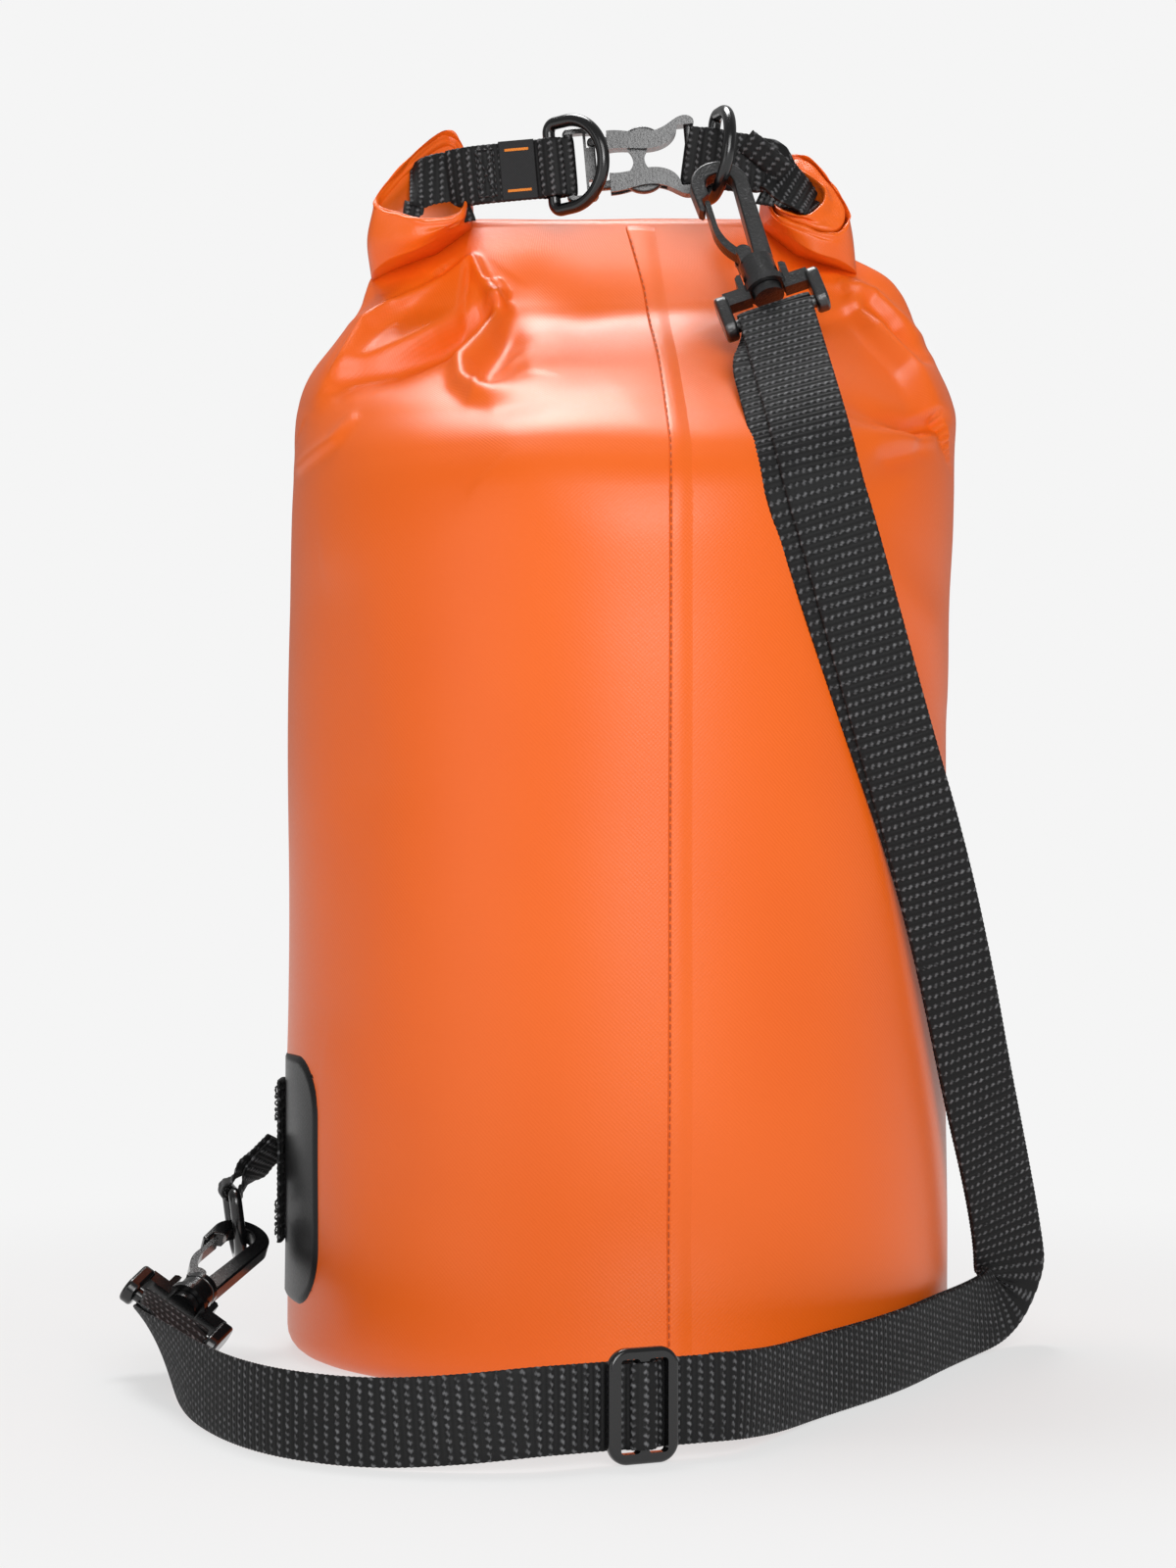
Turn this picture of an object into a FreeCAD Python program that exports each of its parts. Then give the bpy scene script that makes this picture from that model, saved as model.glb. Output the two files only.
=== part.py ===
import FreeCAD, Part
import Sketcher
import math
import os

from FreeCAD import Placement, Rotation, Vector

# ---------------------------------------------------------------- driving sizes (mm, degrees)
SIZES = {
    "bag_radius": 113.0,
    "bag_ridge": 388.0,          # height of the flattened top
    "bag_crown": 108.0,          # how much of that height flattens, above the round tube
    "cloth": 0.9,                # coated cloth
    "weld": 0.5,                 # an extra welded layer
    "roll_thick": 14.0,
    "roll_tall": 26.0,
    "roll_half": 52.0,           # straight part of the roll, each side of the middle
    "roll_end": 54.0,            # how far a bent end of the roll reaches, back to front
    "web": 20.0,                 # closure webbing width
    "web_thick": 1.6,
    "strap": 25.0,               # shoulder strap webbing width
    "strap_thick": 1.6,
    "layer_gap": 0.3,
    "ring_wire": 4.3,
    "ring_tall": 34.0,           # along the bar
    "ring_deep": 27.0,
    "ring_corner": 3.0,
    "fit": 0.25,                 # round a bar or pin
    "moving_gap": 0.4,           # between pieces that move past each other
    "buckle_bar": 1.6,           # radius of the bars that webbing loops round
    "rail_thick": 8.0,
    "rail_skin": 1.7,
    "prong_thick": 4.0,
    "prong_deep": 3.2,
    "prong_height": 7.5,         # prong middle above the buckle's middle
    "slot_gap": 3.4,             # from the male bar to its body
    "slider_long": 32.5,
    "slider_wide": 22.0,
    "slider_thick": 3.2,
    "slider_bar": 2.6,
    "hook_thick": 5.5,
    "hook_reach": 56.6,          # crossbar axis to the middle of the hook's arch
    "arch_inner": 4.8,
    "arch_outer": 9.9,
    "arch_offset": 2.0,          # arch middle, to the nose side of the swivel axis
    "arch_play": 1.9,            # between the arch and the ring that it hangs from
    "barrel_radius": 6.0,
    "barrel_low": 13.5,
    "barrel_high": 22.5,
    "pin_radius": 3.0,
    "head_radius": 5.2,
    "head_thick": 3.0,
    "crossbar_radius": 2.2,
    "cap_thick": 4.4,
    "cap_gap": 1.1,              # between the strap's edge and an end cap
    "gate_thick": 1.8,
    "gate_wide": 3.8,
    "gate_pin": 1.1,
    "patch_low": 19.0,
    "patch_high": 102.0,
    "patch_half": 55.0,          # half of its width across the tube
    "patch_corner": 20.0,
    "patch_thick": 1.0,
}

doc = FreeCAD.newDocument("DryBag")
sheet = doc.addObject("Spreadsheet::Sheet", "Sizes")
for row, (alias, value) in enumerate(SIZES.items(), 1):
    sheet.set(f"A{row}", alias)
    sheet.set(f"B{row}", str(value))
    sheet.setAlias(f"B{row}", alias)
doc.recompute()


class Named:
    def __init__(self, sizes):
        self.__dict__.update(sizes)


z = Named(SIZES)
X, Y, Z = Vector(1, 0, 0), Vector(0, 1, 0), Vector(0, 0, 1)
PLANES = {"XY": 3, "XZ": 4, "YZ": 5}
NODES = []


# ---------------------------------------------------------------- helpers
def bind(thing, **expressions):
    """Ties properties to cells of the sheet; '$' stands for the sheet's name."""
    for prop, text in expressions.items():
        thing.setExpression(prop, text.replace("$", "Sizes."))
    return thing


def node(thing, label):
    thing.Label = label
    NODES.append(thing)
    return thing


def unit(v):
    return Vector(v).normalize()


def frame(origin, x_way, z_way):
    """A placement whose z is z_way and whose x is x_way, squared up to it."""
    up = unit(z_way)
    side = unit(Vector(x_way) - up * up.dot(Vector(x_way)))
    return Placement(Vector(origin), Rotation(side, up.cross(side), up, "ZXY"))


def at(place, x=0, y=0, height=0, turn=None):
    return place.multiply(Placement(Vector(x, y, height), turn or Rotation()))


def box(name, place, length, width, height, middle=(0.5, 0.5, 0.5), **expressions):
    thing = doc.addObject("Part::Box", name)
    thing.Length, thing.Width, thing.Height = length, width, height
    bind(thing, **expressions)
    shift = Vector(-length * middle[0], -width * middle[1], -height * middle[2])
    thing.Placement = place.multiply(Placement(shift, Rotation()))
    return thing


def rod(name, place, radius, height, middle=0.5, **expressions):
    thing = doc.addObject("Part::Cylinder", name)
    thing.Radius, thing.Height = radius, height
    bind(thing, **expressions)
    thing.Placement = at(place, height=-height * middle)
    return thing


def cut(name, base, *tools):
    for n, tool in enumerate(tools):
        thing = doc.addObject("Part::Cut", f"{name}_cut{n}")
        thing.Base, thing.Tool = base, tool
        base = thing
    return base


def fuse(name, *shapes):
    thing = doc.addObject("Part::MultiFuse", name + "_fused")
    thing.Shapes = list(shapes)
    return thing


def common(name, *shapes):
    thing = doc.addObject("Part::MultiCommon", name + "_common")
    thing.Shapes = list(shapes)
    return thing


def body(name, place):
    thing = doc.addObject("PartDesign::Body", name + "_body")
    thing.Placement = place
    return thing


def sketch(owner, name, plane="XZ"):
    thing = owner.newObject("Sketcher::SketchObject", name)
    thing.AttachmentSupport = [(owner.Origin.OriginFeatures[PLANES[plane]], "")]
    thing.MapMode = "FlatFace"
    return thing


def outline(sk, start, *steps):
    """A closed outline: a step is a point for a line, (middle, end) for an arc, or a list of
    points for a smooth curve."""
    here = first = Vector(*start, 0)
    for step in steps:
        if isinstance(step, list):
            through = [here, *(Vector(*p, 0) for p in step)]
            curve = Part.BSplineCurve()
            curve.interpolate(through)
            sk.addGeometry(curve, False)
            end = through[-1]
        elif isinstance(step[0], tuple):
            middle, end = (Vector(*p, 0) for p in step)
            sk.addGeometry(Part.Arc(here, middle, end), False)
        else:
            end = Vector(*step, 0)
            sk.addGeometry(Part.LineSegment(here, end), False)
        here = end
    if here.distanceToPoint(first) > 1e-6:
        sk.addGeometry(Part.LineSegment(here, first), False)
    return sk


def circle(sk, x, y, radius):
    sk.addGeometry(Part.Circle(Vector(x, y, 0), Z, radius), False)
    return sk


def rounded(sk, low_x, low_y, high_x, high_y, r):
    k = r * (1 - math.sqrt(0.5))
    return outline(
        sk,
        (low_x + r, low_y),
        (high_x - r, low_y),
        ((high_x - k, low_y + k), (high_x, low_y + r)),
        (high_x, high_y - r),
        ((high_x - k, high_y - k), (high_x - r, high_y)),
        (low_x + r, high_y),
        ((low_x + k, high_y - k), (low_x, high_y - r)),
        (low_x, low_y + r),
        ((low_x + k, low_y + k), (low_x + r, low_y)),
    )


def pad(owner, sk, text):
    """A pad to both sides of its sketch, of a thickness from the sheet."""
    thing = owner.newObject("PartDesign::Pad", sk.Name + "_pad")
    thing.Profile = sk
    thing.SideType = "Symmetric"
    bind(thing, Length=text)
    return thing


def pocket(owner, sk, text):
    thing = owner.newObject("PartDesign::Pocket", sk.Name + "_pocket")
    thing.Profile = sk
    thing.SideType = "Symmetric"
    bind(thing, Length=text)
    return thing


def soften(owner, feature, radius, wanted):
    """Fillets the edges of a feature for which wanted(edge) holds."""
    doc.recompute()
    names = [f"Edge{n}" for n, e in enumerate(feature.Shape.Edges, 1) if wanted(e)]
    thing = owner.newObject("PartDesign::Fillet", feature.Name + "_soft")
    thing.Base = (feature, names)
    thing.Radius = radius
    doc.recompute()
    return thing


def on_face(half, axis=1):
    """Edges that lie wholly at distance half along a local axis."""
    return lambda e: all(
        abs(abs(tuple(e.valueAt(p))[axis]) - half) < 1e-4
        for p in (e.FirstParameter, (e.FirstParameter + e.LastParameter) / 2, e.LastParameter)
    )


# ---------------------------------------------------------------- the bag
# the crown: how far down from its top, then half width, half depth and backward lean as shares
# of the tube's radius; its first ring is sunk in the round tube
CROWN = [
    (z.bag_crown + 9, 0.993, 0.993, 0),
    (z.bag_crown, 0.9991, 0.9991, 0),
    (0.935 * z.bag_crown, 1, 0.984, 0),
    (0.815 * z.bag_crown, 0.991, 0.903, 0),
    (0.583 * z.bag_crown, 0.965, 0.611, 0),
    (0.398 * z.bag_crown, 0.9115, 0.363, 0),
    (0.241 * z.bag_crown, 0.832, 0.239, 0.018),
    (0.111 * z.bag_crown, (z.roll_half + 24) / z.bag_radius, 0.1327, 0.071),
    (0, (z.roll_half + 8) / z.bag_radius, 0.062, 0.1416),
]
round_top = z.bag_ridge - z.bag_crown
BASE_THICK = 1.5
BOTTOM_ROUND = 8.0


def bag_form(name, grow, low=0.0, high=0.0):
    """The bag's outer form, grown or shrunk: a round tube and a crown lofted of ellipses."""
    foot = BASE_THICK + low
    tube = rod(
        name + "_tube", Placement(Vector(0, 0, foot), Rotation()), z.bag_radius + grow,
        round_top - foot, 0,
    )
    soft = doc.addObject("Part::Fillet", name + "_round")
    soft.Base = tube
    soft.Edges = [(3, BOTTOM_ROUND, BOTTOM_ROUND)]
    rings = []
    for n, (drop, wide, deep, lean) in enumerate(CROWN):
        ring = doc.addObject("Part::Ellipse", f"{name}_ring{n}")
        ring.MajorRadius = wide * z.bag_radius + grow
        ring.MinorRadius = min(wide * z.bag_radius - 0.001, deep * z.bag_radius) + grow
        raised = z.bag_ridge - drop + (0 if drop else high)
        ring.Placement.Base = Vector(0, lean * z.bag_radius, raised)
        rings.append(ring)
    crown = doc.addObject("Part::Loft", name + "_crown")
    crown.Sections, crown.Solid, crown.Ruled, crown.MaxDegree = rings, True, False, 2
    return fuse(name, soft, crown)


outer = bag_form("bag_outer", 0)
inner = bag_form("bag_inner", -z.cloth, z.cloth, -z.cloth)
node(cut("bag_body", outer, inner), "bag_body")

base = rod("base", Placement(), z.bag_radius - BOTTOM_ROUND - 1, BASE_THICK, 0)
node(base, "base_disc")

# the overlapped weld up the back, as a strip of the grown form
seam_form = bag_form("seam_form", z.weld)
seam_zone = box("seam_zone", Placement(Vector(21.5, -0.5 * z.bag_radius, 13), Rotation()), 11,
                1.3 * z.bag_radius, z.bag_ridge - 24, (0.5, 0.5, 0))
node(cut("seam", common("seam", seam_form, seam_zone), outer), "back_seam")

# ---------------------------------------------------------------- the rolled mouth
ROLL_BACK = 0.22 * z.bag_radius + 13.14
roll_front = ROLL_BACK - z.roll_thick
roll_top = z.bag_ridge + 2
roll_place = Placement(
    Vector(0, ROLL_BACK - z.roll_thick / 2, roll_top - z.roll_tall / 2), Rotation()
)
roll = body("roll", roll_place)
roll_sketch = sketch(roll, "roll_section", "YZ")
half_thick, half_tall = z.roll_thick / 2, z.roll_tall / 2
rounded(roll_sketch, -half_thick, -half_tall, half_thick, half_tall, 5.5)
pad(roll, roll_sketch, "2 * $roll_half")
stiff_hollow = box(
    "stiff_hollow", roll_place, 2 * z.roll_half - 4, 1.5 + z.fit * 2, z.roll_tall - 8
)
node(cut("rolled_mouth", roll, outer, stiff_hollow), "rolled_mouth")
node(
    box("stiffener", roll_place, 2 * z.roll_half - 5, 1.5, z.roll_tall - 9),
    "mouth_stiffener",
)

# ---------------------------------------------------------------- frames of the closure
WEB_Y = ROLL_BACK - z.roll_end + 6
buckle = Placement(Vector(12.4, WEB_Y, z.bag_ridge + 19.2), Rotation(Y, -5))
FEMALE_BAR, MALE_BAR, RING_BAR = 12.8, -28.5, -35.0
LEFT_END, RIGHT_END = -20 - z.roll_half, z.roll_half - 8
right_start = buckle.multVec(Vector(FEMALE_BAR, 0, 0))
right_web = Placement(right_start, Rotation(Y, 7.5))
UPPER_BAR = 6.8


def roll_end(name, points, slot):
    """A bent end of the roll: an upright outline from the straight part's end and the ridge,
    with the webbing's slot and the bag cut from it."""
    side = 1 if points[-1][0] > 0 else -1
    corner = Vector(side * z.roll_half, ROLL_BACK - z.roll_end / 2, z.bag_ridge)
    place = Placement(corner, Rotation())
    owner = body(name, place)
    outline(sketch(owner, name + "_side"), *points)
    pad(owner, owner.Group[-1], "$roll_end")
    return node(cut(name, owner, outer, slot), name)


left_slot = box(
    "left_slot", at(buckle, -40 - z.roll_half, 3.0), 60, 40, z.web + 3, middle=(0, 1, 0.5)
)
roll_end(
    "roll_end_left",
    [(0, 1.5), (0, 24), ((-2.5, 29), (-8, 30)), (-32, 8), (-33, -4), (-31, -12), (-10, -8)],
    left_slot,
)
right_slot = box(
    "right_slot", at(right_web, 12, 5.4), RIGHT_END - 12, 40, z.web + 3, middle=(0, 1, 0.5)
)
roll_end(
    "roll_end_right",
    [(0, 1.5), (0, 20), ((2, 23.5), (6, 24.5)), (15, 25), (28.5, 6), (28.5, -2), (22, -8),
     (10, -8)],
    right_slot,
)

# ---------------------------------------------------------------- D-rings
RING_HALF = (z.ring_tall - z.ring_wire) / 2
RING_REACH = z.ring_deep - z.ring_wire


def d_ring(label, place):
    """Round wire on a D-shaped path: bar on the local z axis, curve towards local x."""
    owner = body(label, place)
    path = sketch(owner, label + "_path", "XZ")
    r, k = z.ring_corner, z.ring_corner * (1 - math.sqrt(0.5))
    outline(
        path,
        (0, 0),
        (0, RING_HALF - r),
        ((k, RING_HALF - k), (r, RING_HALF)),
        (RING_REACH - RING_HALF, RING_HALF),
        ((RING_REACH, 0), (RING_REACH - RING_HALF, -RING_HALF)),
        (r, -RING_HALF),
        ((k, k - RING_HALF), (0, r - RING_HALF)),
    )
    wire = sketch(owner, label + "_wire", "XY")
    circle(wire, 0, 0, z.ring_wire / 2)
    wire.addConstraint(Sketcher.Constraint("Radius", 0, z.ring_wire / 2))
    wire.setExpression("Constraints[0]", "Sizes.ring_wire / 2")
    pipe = owner.newObject("PartDesign::AdditivePipe", label + "_pipe")
    pipe.Profile, pipe.Spine = wire, path
    return node(owner, label)


closure_ring_place = at(buckle, RING_BAR, turn=Rotation(Z, -39))
upper_ring_place = at(right_web, UPPER_BAR, turn=Rotation(Z, -76))
d_ring("closure_ring", closure_ring_place)
d_ring("upper_ring", upper_ring_place)

# ---------------------------------------------------------------- closure webbing
eye_ring = z.ring_wire / 2 + z.fit
eye_bar = z.buckle_bar + z.fit


def webbing_with_eyes(name, strip, *eyes):
    """A doubled strip that swells round each bar it holds: eyes are (place, radius)."""
    swell = [
        rod(f"{name}_swell{n}", place, radius + z.web_thick, z.web, Height="$web")
        for n, (place, radius) in enumerate(eyes)
    ]
    holes = [
        rod(f"{name}_hole{n}", place, radius, z.web + 8) for n, (place, radius) in enumerate(eyes)
    ]
    return node(cut(name, fuse(name, strip, *swell), *holes), name)


left_strip = box(
    "left_strip", at(buckle, LEFT_END), MALE_BAR - LEFT_END, 2 * z.web_thick, z.web,
    middle=(0, 0.5, 0.5), Width="2 * $web_thick", Height="$web",
)
webbing_with_eyes(
    "closure_webbing_left", left_strip,
    (at(buckle, RING_BAR), eye_ring), (at(buckle, MALE_BAR), eye_bar),
)
node(
    box("label", at(buckle, RING_BAR - 5, -z.web_thick), 12.5, 0.6, z.web + 0.4, (1, 1, 0.5)),
    "woven_label",
)
right_strip = box(
    "right_strip", right_web, RIGHT_END, 2 * z.web_thick, z.web,
    middle=(0, 0.5, 0.5), Width="2 * $web_thick", Height="$web",
)
webbing_with_eyes(
    "closure_webbing_right", right_strip,
    (at(right_web, UPPER_BAR), eye_ring), (at(buckle, FEMALE_BAR), eye_bar),
)
node(
    box("tail", at(right_web, 13.4, z.web_thick, 1), 18, 2 * z.web_thick, z.web,
        (0, 0, 0.5), Width="2 * $web_thick", Height="$web"),
    "webbing_tail",
)

# ---------------------------------------------------------------- side-release buckle
RAIL_IN, RAIL_OUT = 4.0, 10.5
WAIST_TOP = 4.5
PRESS_ROOM = 1.0                  # the channel's depth on the arm's inner side
prong_low = z.prong_height - z.prong_deep / 2
prong_high = z.prong_height + z.prong_deep / 2


waist = body("waist", buckle)
outline(
    sketch(waist, "waist_outline"),
    (-9.8, -WAIST_TOP), ((-6.9, 0), (-9.8, WAIST_TOP)), (-0.2, WAIST_TOP),
    ((-3.1, 0), (-0.2, -WAIST_TOP)),
)
pad(waist, waist.Group[-1], "$rail_thick - 2 * $rail_skin")
# the upper arched rail of the female half, seen from the front; the lower one is its mirror image
rail = body("rail", buckle)
outline(
    sketch(rail, "rail_outline"),
    (-15.4, RAIL_IN),
    [(-5, 3.5), (2.0, 3.6), (6.4, 5.6), (8.9, 10.4)],
    (14.6, 10.4),
    [(14.3, 12.3), (12.6, 13.4), (9.3, 13.1), (5.4, 10.9), (-2, 8.9), (-11, 10.2),
     (-15.4, RAIL_OUT)],
)
pad(rail, rail.Group[-1], "$rail_thick")
channel = box(
    "channel", at(buckle, -18, 0, prong_low - z.moving_gap - PRESS_ROOM), 22,
    z.prong_thick + 2 * z.moving_gap, 12, (0, 0.5, 0), Width="$prong_thick + 2 * $moving_gap",
)
upper_rail = cut("upper_rail", rail, channel)
lower_rail = doc.addObject("Part::Mirroring", "lower_rail")
lower_rail.Source = upper_rail
lower_rail.Base, lower_rail.Normal = buckle.Base, buckle.Rotation.multVec(Z)
bar = rod("female_bar", at(buckle, FEMALE_BAR), z.buckle_bar, 22.6, Radius="$buckle_bar")
node(fuse("buckle_female", upper_rail, lower_rail, waist, bar), "buckle_female")

BODY_NEAR, BODY_FAR = MALE_BAR + z.buckle_bar + z.slot_gap, -19.6
male = body("buckle_male", buckle)
male_frame = sketch(male, "male_frame")
rounded(male_frame, MALE_BAR - 2, -12.6, BODY_FAR, 12.6, 2.2)
frame_pad = pad(male, male_frame, "1.2 * $prong_thick")
soften(male, frame_pad, 0.8, on_face(0.6 * z.prong_thick))
male_slot = sketch(male, "male_slot")
outline(
    male_slot, (MALE_BAR - 4, -10.6), (BODY_NEAR, -10.6), (BODY_NEAR, 10.6), (MALE_BAR - 4, 10.6)
)
pocket(male, male_slot, "2 * $prong_thick")
notches = sketch(male, "notches")
for side in (1, -1):
    low, high = sorted((side * (prong_low - z.moving_gap), side * (prong_high + 1.2)))
    outline(notches, (-22.6, low), (-18, low), (-18, high), (-22.6, high))
pocket(male, notches, "2 * $prong_thick")
male_bar = rod("male_bar", at(buckle, MALE_BAR), z.buckle_bar, 22.4, Radius="$buckle_bar")
node(fuse("buckle_male", male, male_bar), "buckle_male")

ARM_PIVOT = -20.6


def release_arm(label, side):
    """A springy prong, with the bulged pad that fingers press."""
    owner = body(label, buckle)
    s = side
    blank = sketch(owner, label + "_outline")
    outline(
        blank,
        (ARM_PIVOT, s * prong_low),
        (0.5, s * prong_low),
        ((2.6, s * (prong_low + 0.9)), (3.0, s * (prong_low + 2.2))),
        ((-3, s * (prong_high + 2.3)), (-9, s * (prong_high + 0.4))),
        (-13, s * prong_high),
        (ARM_PIVOT, s * prong_high),
        ((ARM_PIVOT - z.prong_deep / 2, s * z.prong_height), (ARM_PIVOT, s * prong_low)),
    )
    blank_pad = pad(owner, blank, "$prong_thick")
    soften(owner, blank_pad, 0.9, on_face(z.prong_thick / 2))
    return node(owner, label)


release_arm("release_arm_upper", 1)
release_arm("release_arm_lower", -1)

# ---------------------------------------------------------------- swivel hook, gate and yoke
BASE = z.barrel_high
PIN_S, PIN_T = -3.3, BASE + 3.4
NOSE_T = z.hook_reach - 10.3


def tangent_point(x, y, cx, cy, radius):
    """Where a line from a point, with the circle on its left going up, touches the circle."""
    away = math.hypot(cx - x, cy - y)
    turn = math.atan2(cy - y, cx - x) - math.asin(radius / away)
    length = math.sqrt(away * away - radius * radius)
    return x + length * math.cos(turn), y + length * math.sin(turn)


def swivel_hook(label, place):
    """J-shaped hook with its barrel and swivel pin, local z along the swivel axis."""
    owner = body(label, place)
    blank = sketch(owner, label + "_outline")
    c, up = -z.arch_offset, z.hook_reach
    ro, ri = z.arch_outer, z.arch_inner
    outline(
        blank,
        (-0.4, BASE - 0.5),
        (5.8, BASE - 0.5),
        tangent_point(5.8, BASE - 0.5, c, up, ro),
        ((c, up + ro), (c - ro, up)),
        (c - ro, NOSE_T + 1.2),
        (c - ro + 1.0, NOSE_T),
        (c - ro + 2.0, NOSE_T + 0.6),
        (c - ro + 2.2, NOSE_T + 5.4),
        (c - ri, NOSE_T + 7.2),
        (c - ri, up),
        ((c, up + ri), tangent_point(-0.4, BASE - 0.5, c, up, ri)),
    )
    blank_pad = pad(owner, blank, "$hook_thick")
    soften(owner, blank_pad, 0.7, on_face(z.hook_thick / 2))
    barrel = rod("barrel", at(place, height=z.barrel_low), z.barrel_radius,
                 z.barrel_high - z.barrel_low, 0, Radius="$barrel_radius")
    groove = doc.addObject("Part::Torus", "barrel_groove")
    groove.Radius1, groove.Radius2 = z.barrel_radius + 0.3, 0.7
    groove.Placement = at(place, height=z.barrel_high - 3)
    pin = rod("pin", at(place, height=z.barrel_low + 1), z.pin_radius, 6.5, 1,
              Radius="$pin_radius")
    head = rod("head", at(place, height=z.barrel_low - 3.4 - z.head_thick), z.head_radius,
               z.head_thick, 0, Radius="$head_radius", Height="$head_thick")
    eye = at(place, PIN_S, 0, PIN_T, Rotation(X, 90))
    rivet = rod("rivet", eye, z.gate_pin, z.gate_wide + 2 * z.moving_gap + 2.4, Radius="$gate_pin")
    cheeks = []
    for side in (1, -1):
        y = side * (z.gate_wide / 2 + z.moving_gap + 0.6)
        cheeks.append(rod("cheek", at(place, PIN_S, y, PIN_T, Rotation(X, 90)), 2.6, 1.2))
        cheeks.append(box("foot", at(place, PIN_S, y, BASE - 1), 4.6, 1.2, PIN_T - BASE + 1,
                          (0.5, 0.5, 0)))
    solid = fuse(label, owner, barrel, pin, head, rivet, *cheeks)
    return node(cut(label, solid, groove), label)


def gate(label, place):
    """The sprung strip that closes the hook, on its rivet."""
    owner = body(label, place)
    strip = sketch(owner, label + "_strip")
    g, tip = z.gate_thick / 2, z.hook_reach - 5.5
    outline(
        strip,
        (PIN_S - 2.0, PIN_T - 0.6),
        ((-8.6 - g, PIN_T + 7.5), (-8.9 - g, PIN_T + 14)),
        (-8.3 - g, tip - 1),
        ((-8.3, tip), (-8.3 + g, tip - 1)),
        (-8.9 + g, PIN_T + 14),
        ((-7.7 + g, PIN_T + 7.5), (PIN_S + 0.2, PIN_T + 1.5)),
    )
    strip_pad = pad(owner, strip, "$gate_wide")
    eye = at(place, PIN_S, 0, PIN_T, Rotation(X, 90))
    boss = rod("boss", eye, 2.2, z.gate_wide, Height="$gate_wide")
    hole = rod("hole", eye, z.gate_pin + 0.08, z.gate_wide + 2)
    return node(cut(label, fuse(label, owner, boss), hole), label)


def yoke(label, place):
    """The crossbar frame: round crossbar, rounded end caps, arms, shoulders and swivel ring."""
    half = z.strap / 2 + z.cap_gap
    low_ring = z.barrel_low - 3.1
    pieces = []
    for side in (1, -1):
        cap = body("cap", at(place, side * (half + z.cap_thick / 2)))
        rounded(sketch(cap, "cap_outline", "YZ"), -4.4, -4.2, 4.4, low_ring + 2, 4.0)
        cap_pad = pad(cap, cap.Group[-1], "$cap_thick")
        soften(cap, cap_pad, 1.2, on_face(z.cap_thick / 2, 0))
        pieces.append(cap)
    wing = body("wing", place)
    low, high, top = 7.4, low_ring + 2.3, z.barrel_low + 4.6
    side_points = [(5.8, low), (half + 1, low), (half + 1, high), (8.8, high), (8.8, top - 1),
                   (7.8, top), (6.6, top), (6.6, high - 0.3)]
    mirrored = [(-s, t) for s, t in reversed(side_points)]
    outline(
        sketch(wing, "wing_outline"), (5.8, low_ring + 0.5), *side_points, *mirrored,
        (-5.8, low_ring + 0.5),
    )
    wing_pad = pad(wing, wing.Group[-1], "0.9 * $hook_thick")
    seat = rod("seat", at(place, height=low_ring), 7.2, 2.6, 0)
    pieces += [wing, seat]
    bore = rod("bore", at(place, height=low_ring - 1), z.pin_radius + z.moving_gap / 2, 8, 0)
    crossbar = rod("crossbar", at(place, turn=Rotation(Y, 90)), z.crossbar_radius, 2 * half + 2,
                   Radius="$crossbar_radius", Height="$strap + 2 * $cap_gap + 2")
    solid = cut(label, fuse(label + "_raw", *pieces), bore)
    return node(fuse(label, solid, crossbar), label)


def hook_frames(wire, axis, across, twist=0.0):
    """Frames of the yoke and of the hook that hangs with its arch round the point wire."""
    reach = z.hook_reach + z.arch_inner - z.ring_wire / 2 - z.arch_play
    plain = frame((0, 0, 0), across, axis)
    turned = plain.multiply(Placement(Vector(), Rotation(Z, twist)))
    origin = Vector(wire) - turned.multVec(Vector(-z.arch_offset, 0, reach))
    return Placement(origin, plain.Rotation), Placement(origin, turned.Rotation)


curve = RING_REACH - RING_HALF


def on_ring(place, angle):
    """The point of a ring's curve at an angle from its upper end."""
    a = math.radians(angle)
    return place.multVec(Vector(curve + RING_HALF * math.sin(a), 0, RING_HALF * math.cos(a)))


upper_yoke_place, upper_hook_place = hook_frames(
    on_ring(upper_ring_place, 145), (-16.7, 0.6 * z.bag_radius - 38.8, 50), (0.951, 0, 0.309), 10
)
ring_down, ring_along = unit((0.13, 0, -0.99)), unit((0.19, -0.98, 0))
lower_ring_place = frame((-19.4 - z.bag_radius, -5.1, 53.7), ring_down, -ring_along)
lower_yoke_place, lower_hook_place = hook_frames(
    on_ring(lower_ring_place, 146), (0.335, 0.885, 0.32), (0.81, -0.12, -0.57), -14
)
d_ring("lower_ring", lower_ring_place)
for word, yoke_place, hook_place in (
    ("upper", upper_yoke_place, upper_hook_place),
    ("lower", lower_yoke_place, lower_hook_place),
):
    yoke(f"{word}_yoke", yoke_place)
    swivel_hook(f"{word}_hook", hook_place)
    gate(f"{word}_gate", hook_place)

# ---------------------------------------------------------------- shoulder strap
SLIDER = Vector(4, -223, 16.4)
slider_way = unit((-0.899, -0.438, 0))
LOOP_RADIUS = z.crossbar_radius + z.fit + z.strap_thick / 2
floor_z = z.strap / 2 + 0.3
DOWN = (0, 0, -1)
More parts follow.
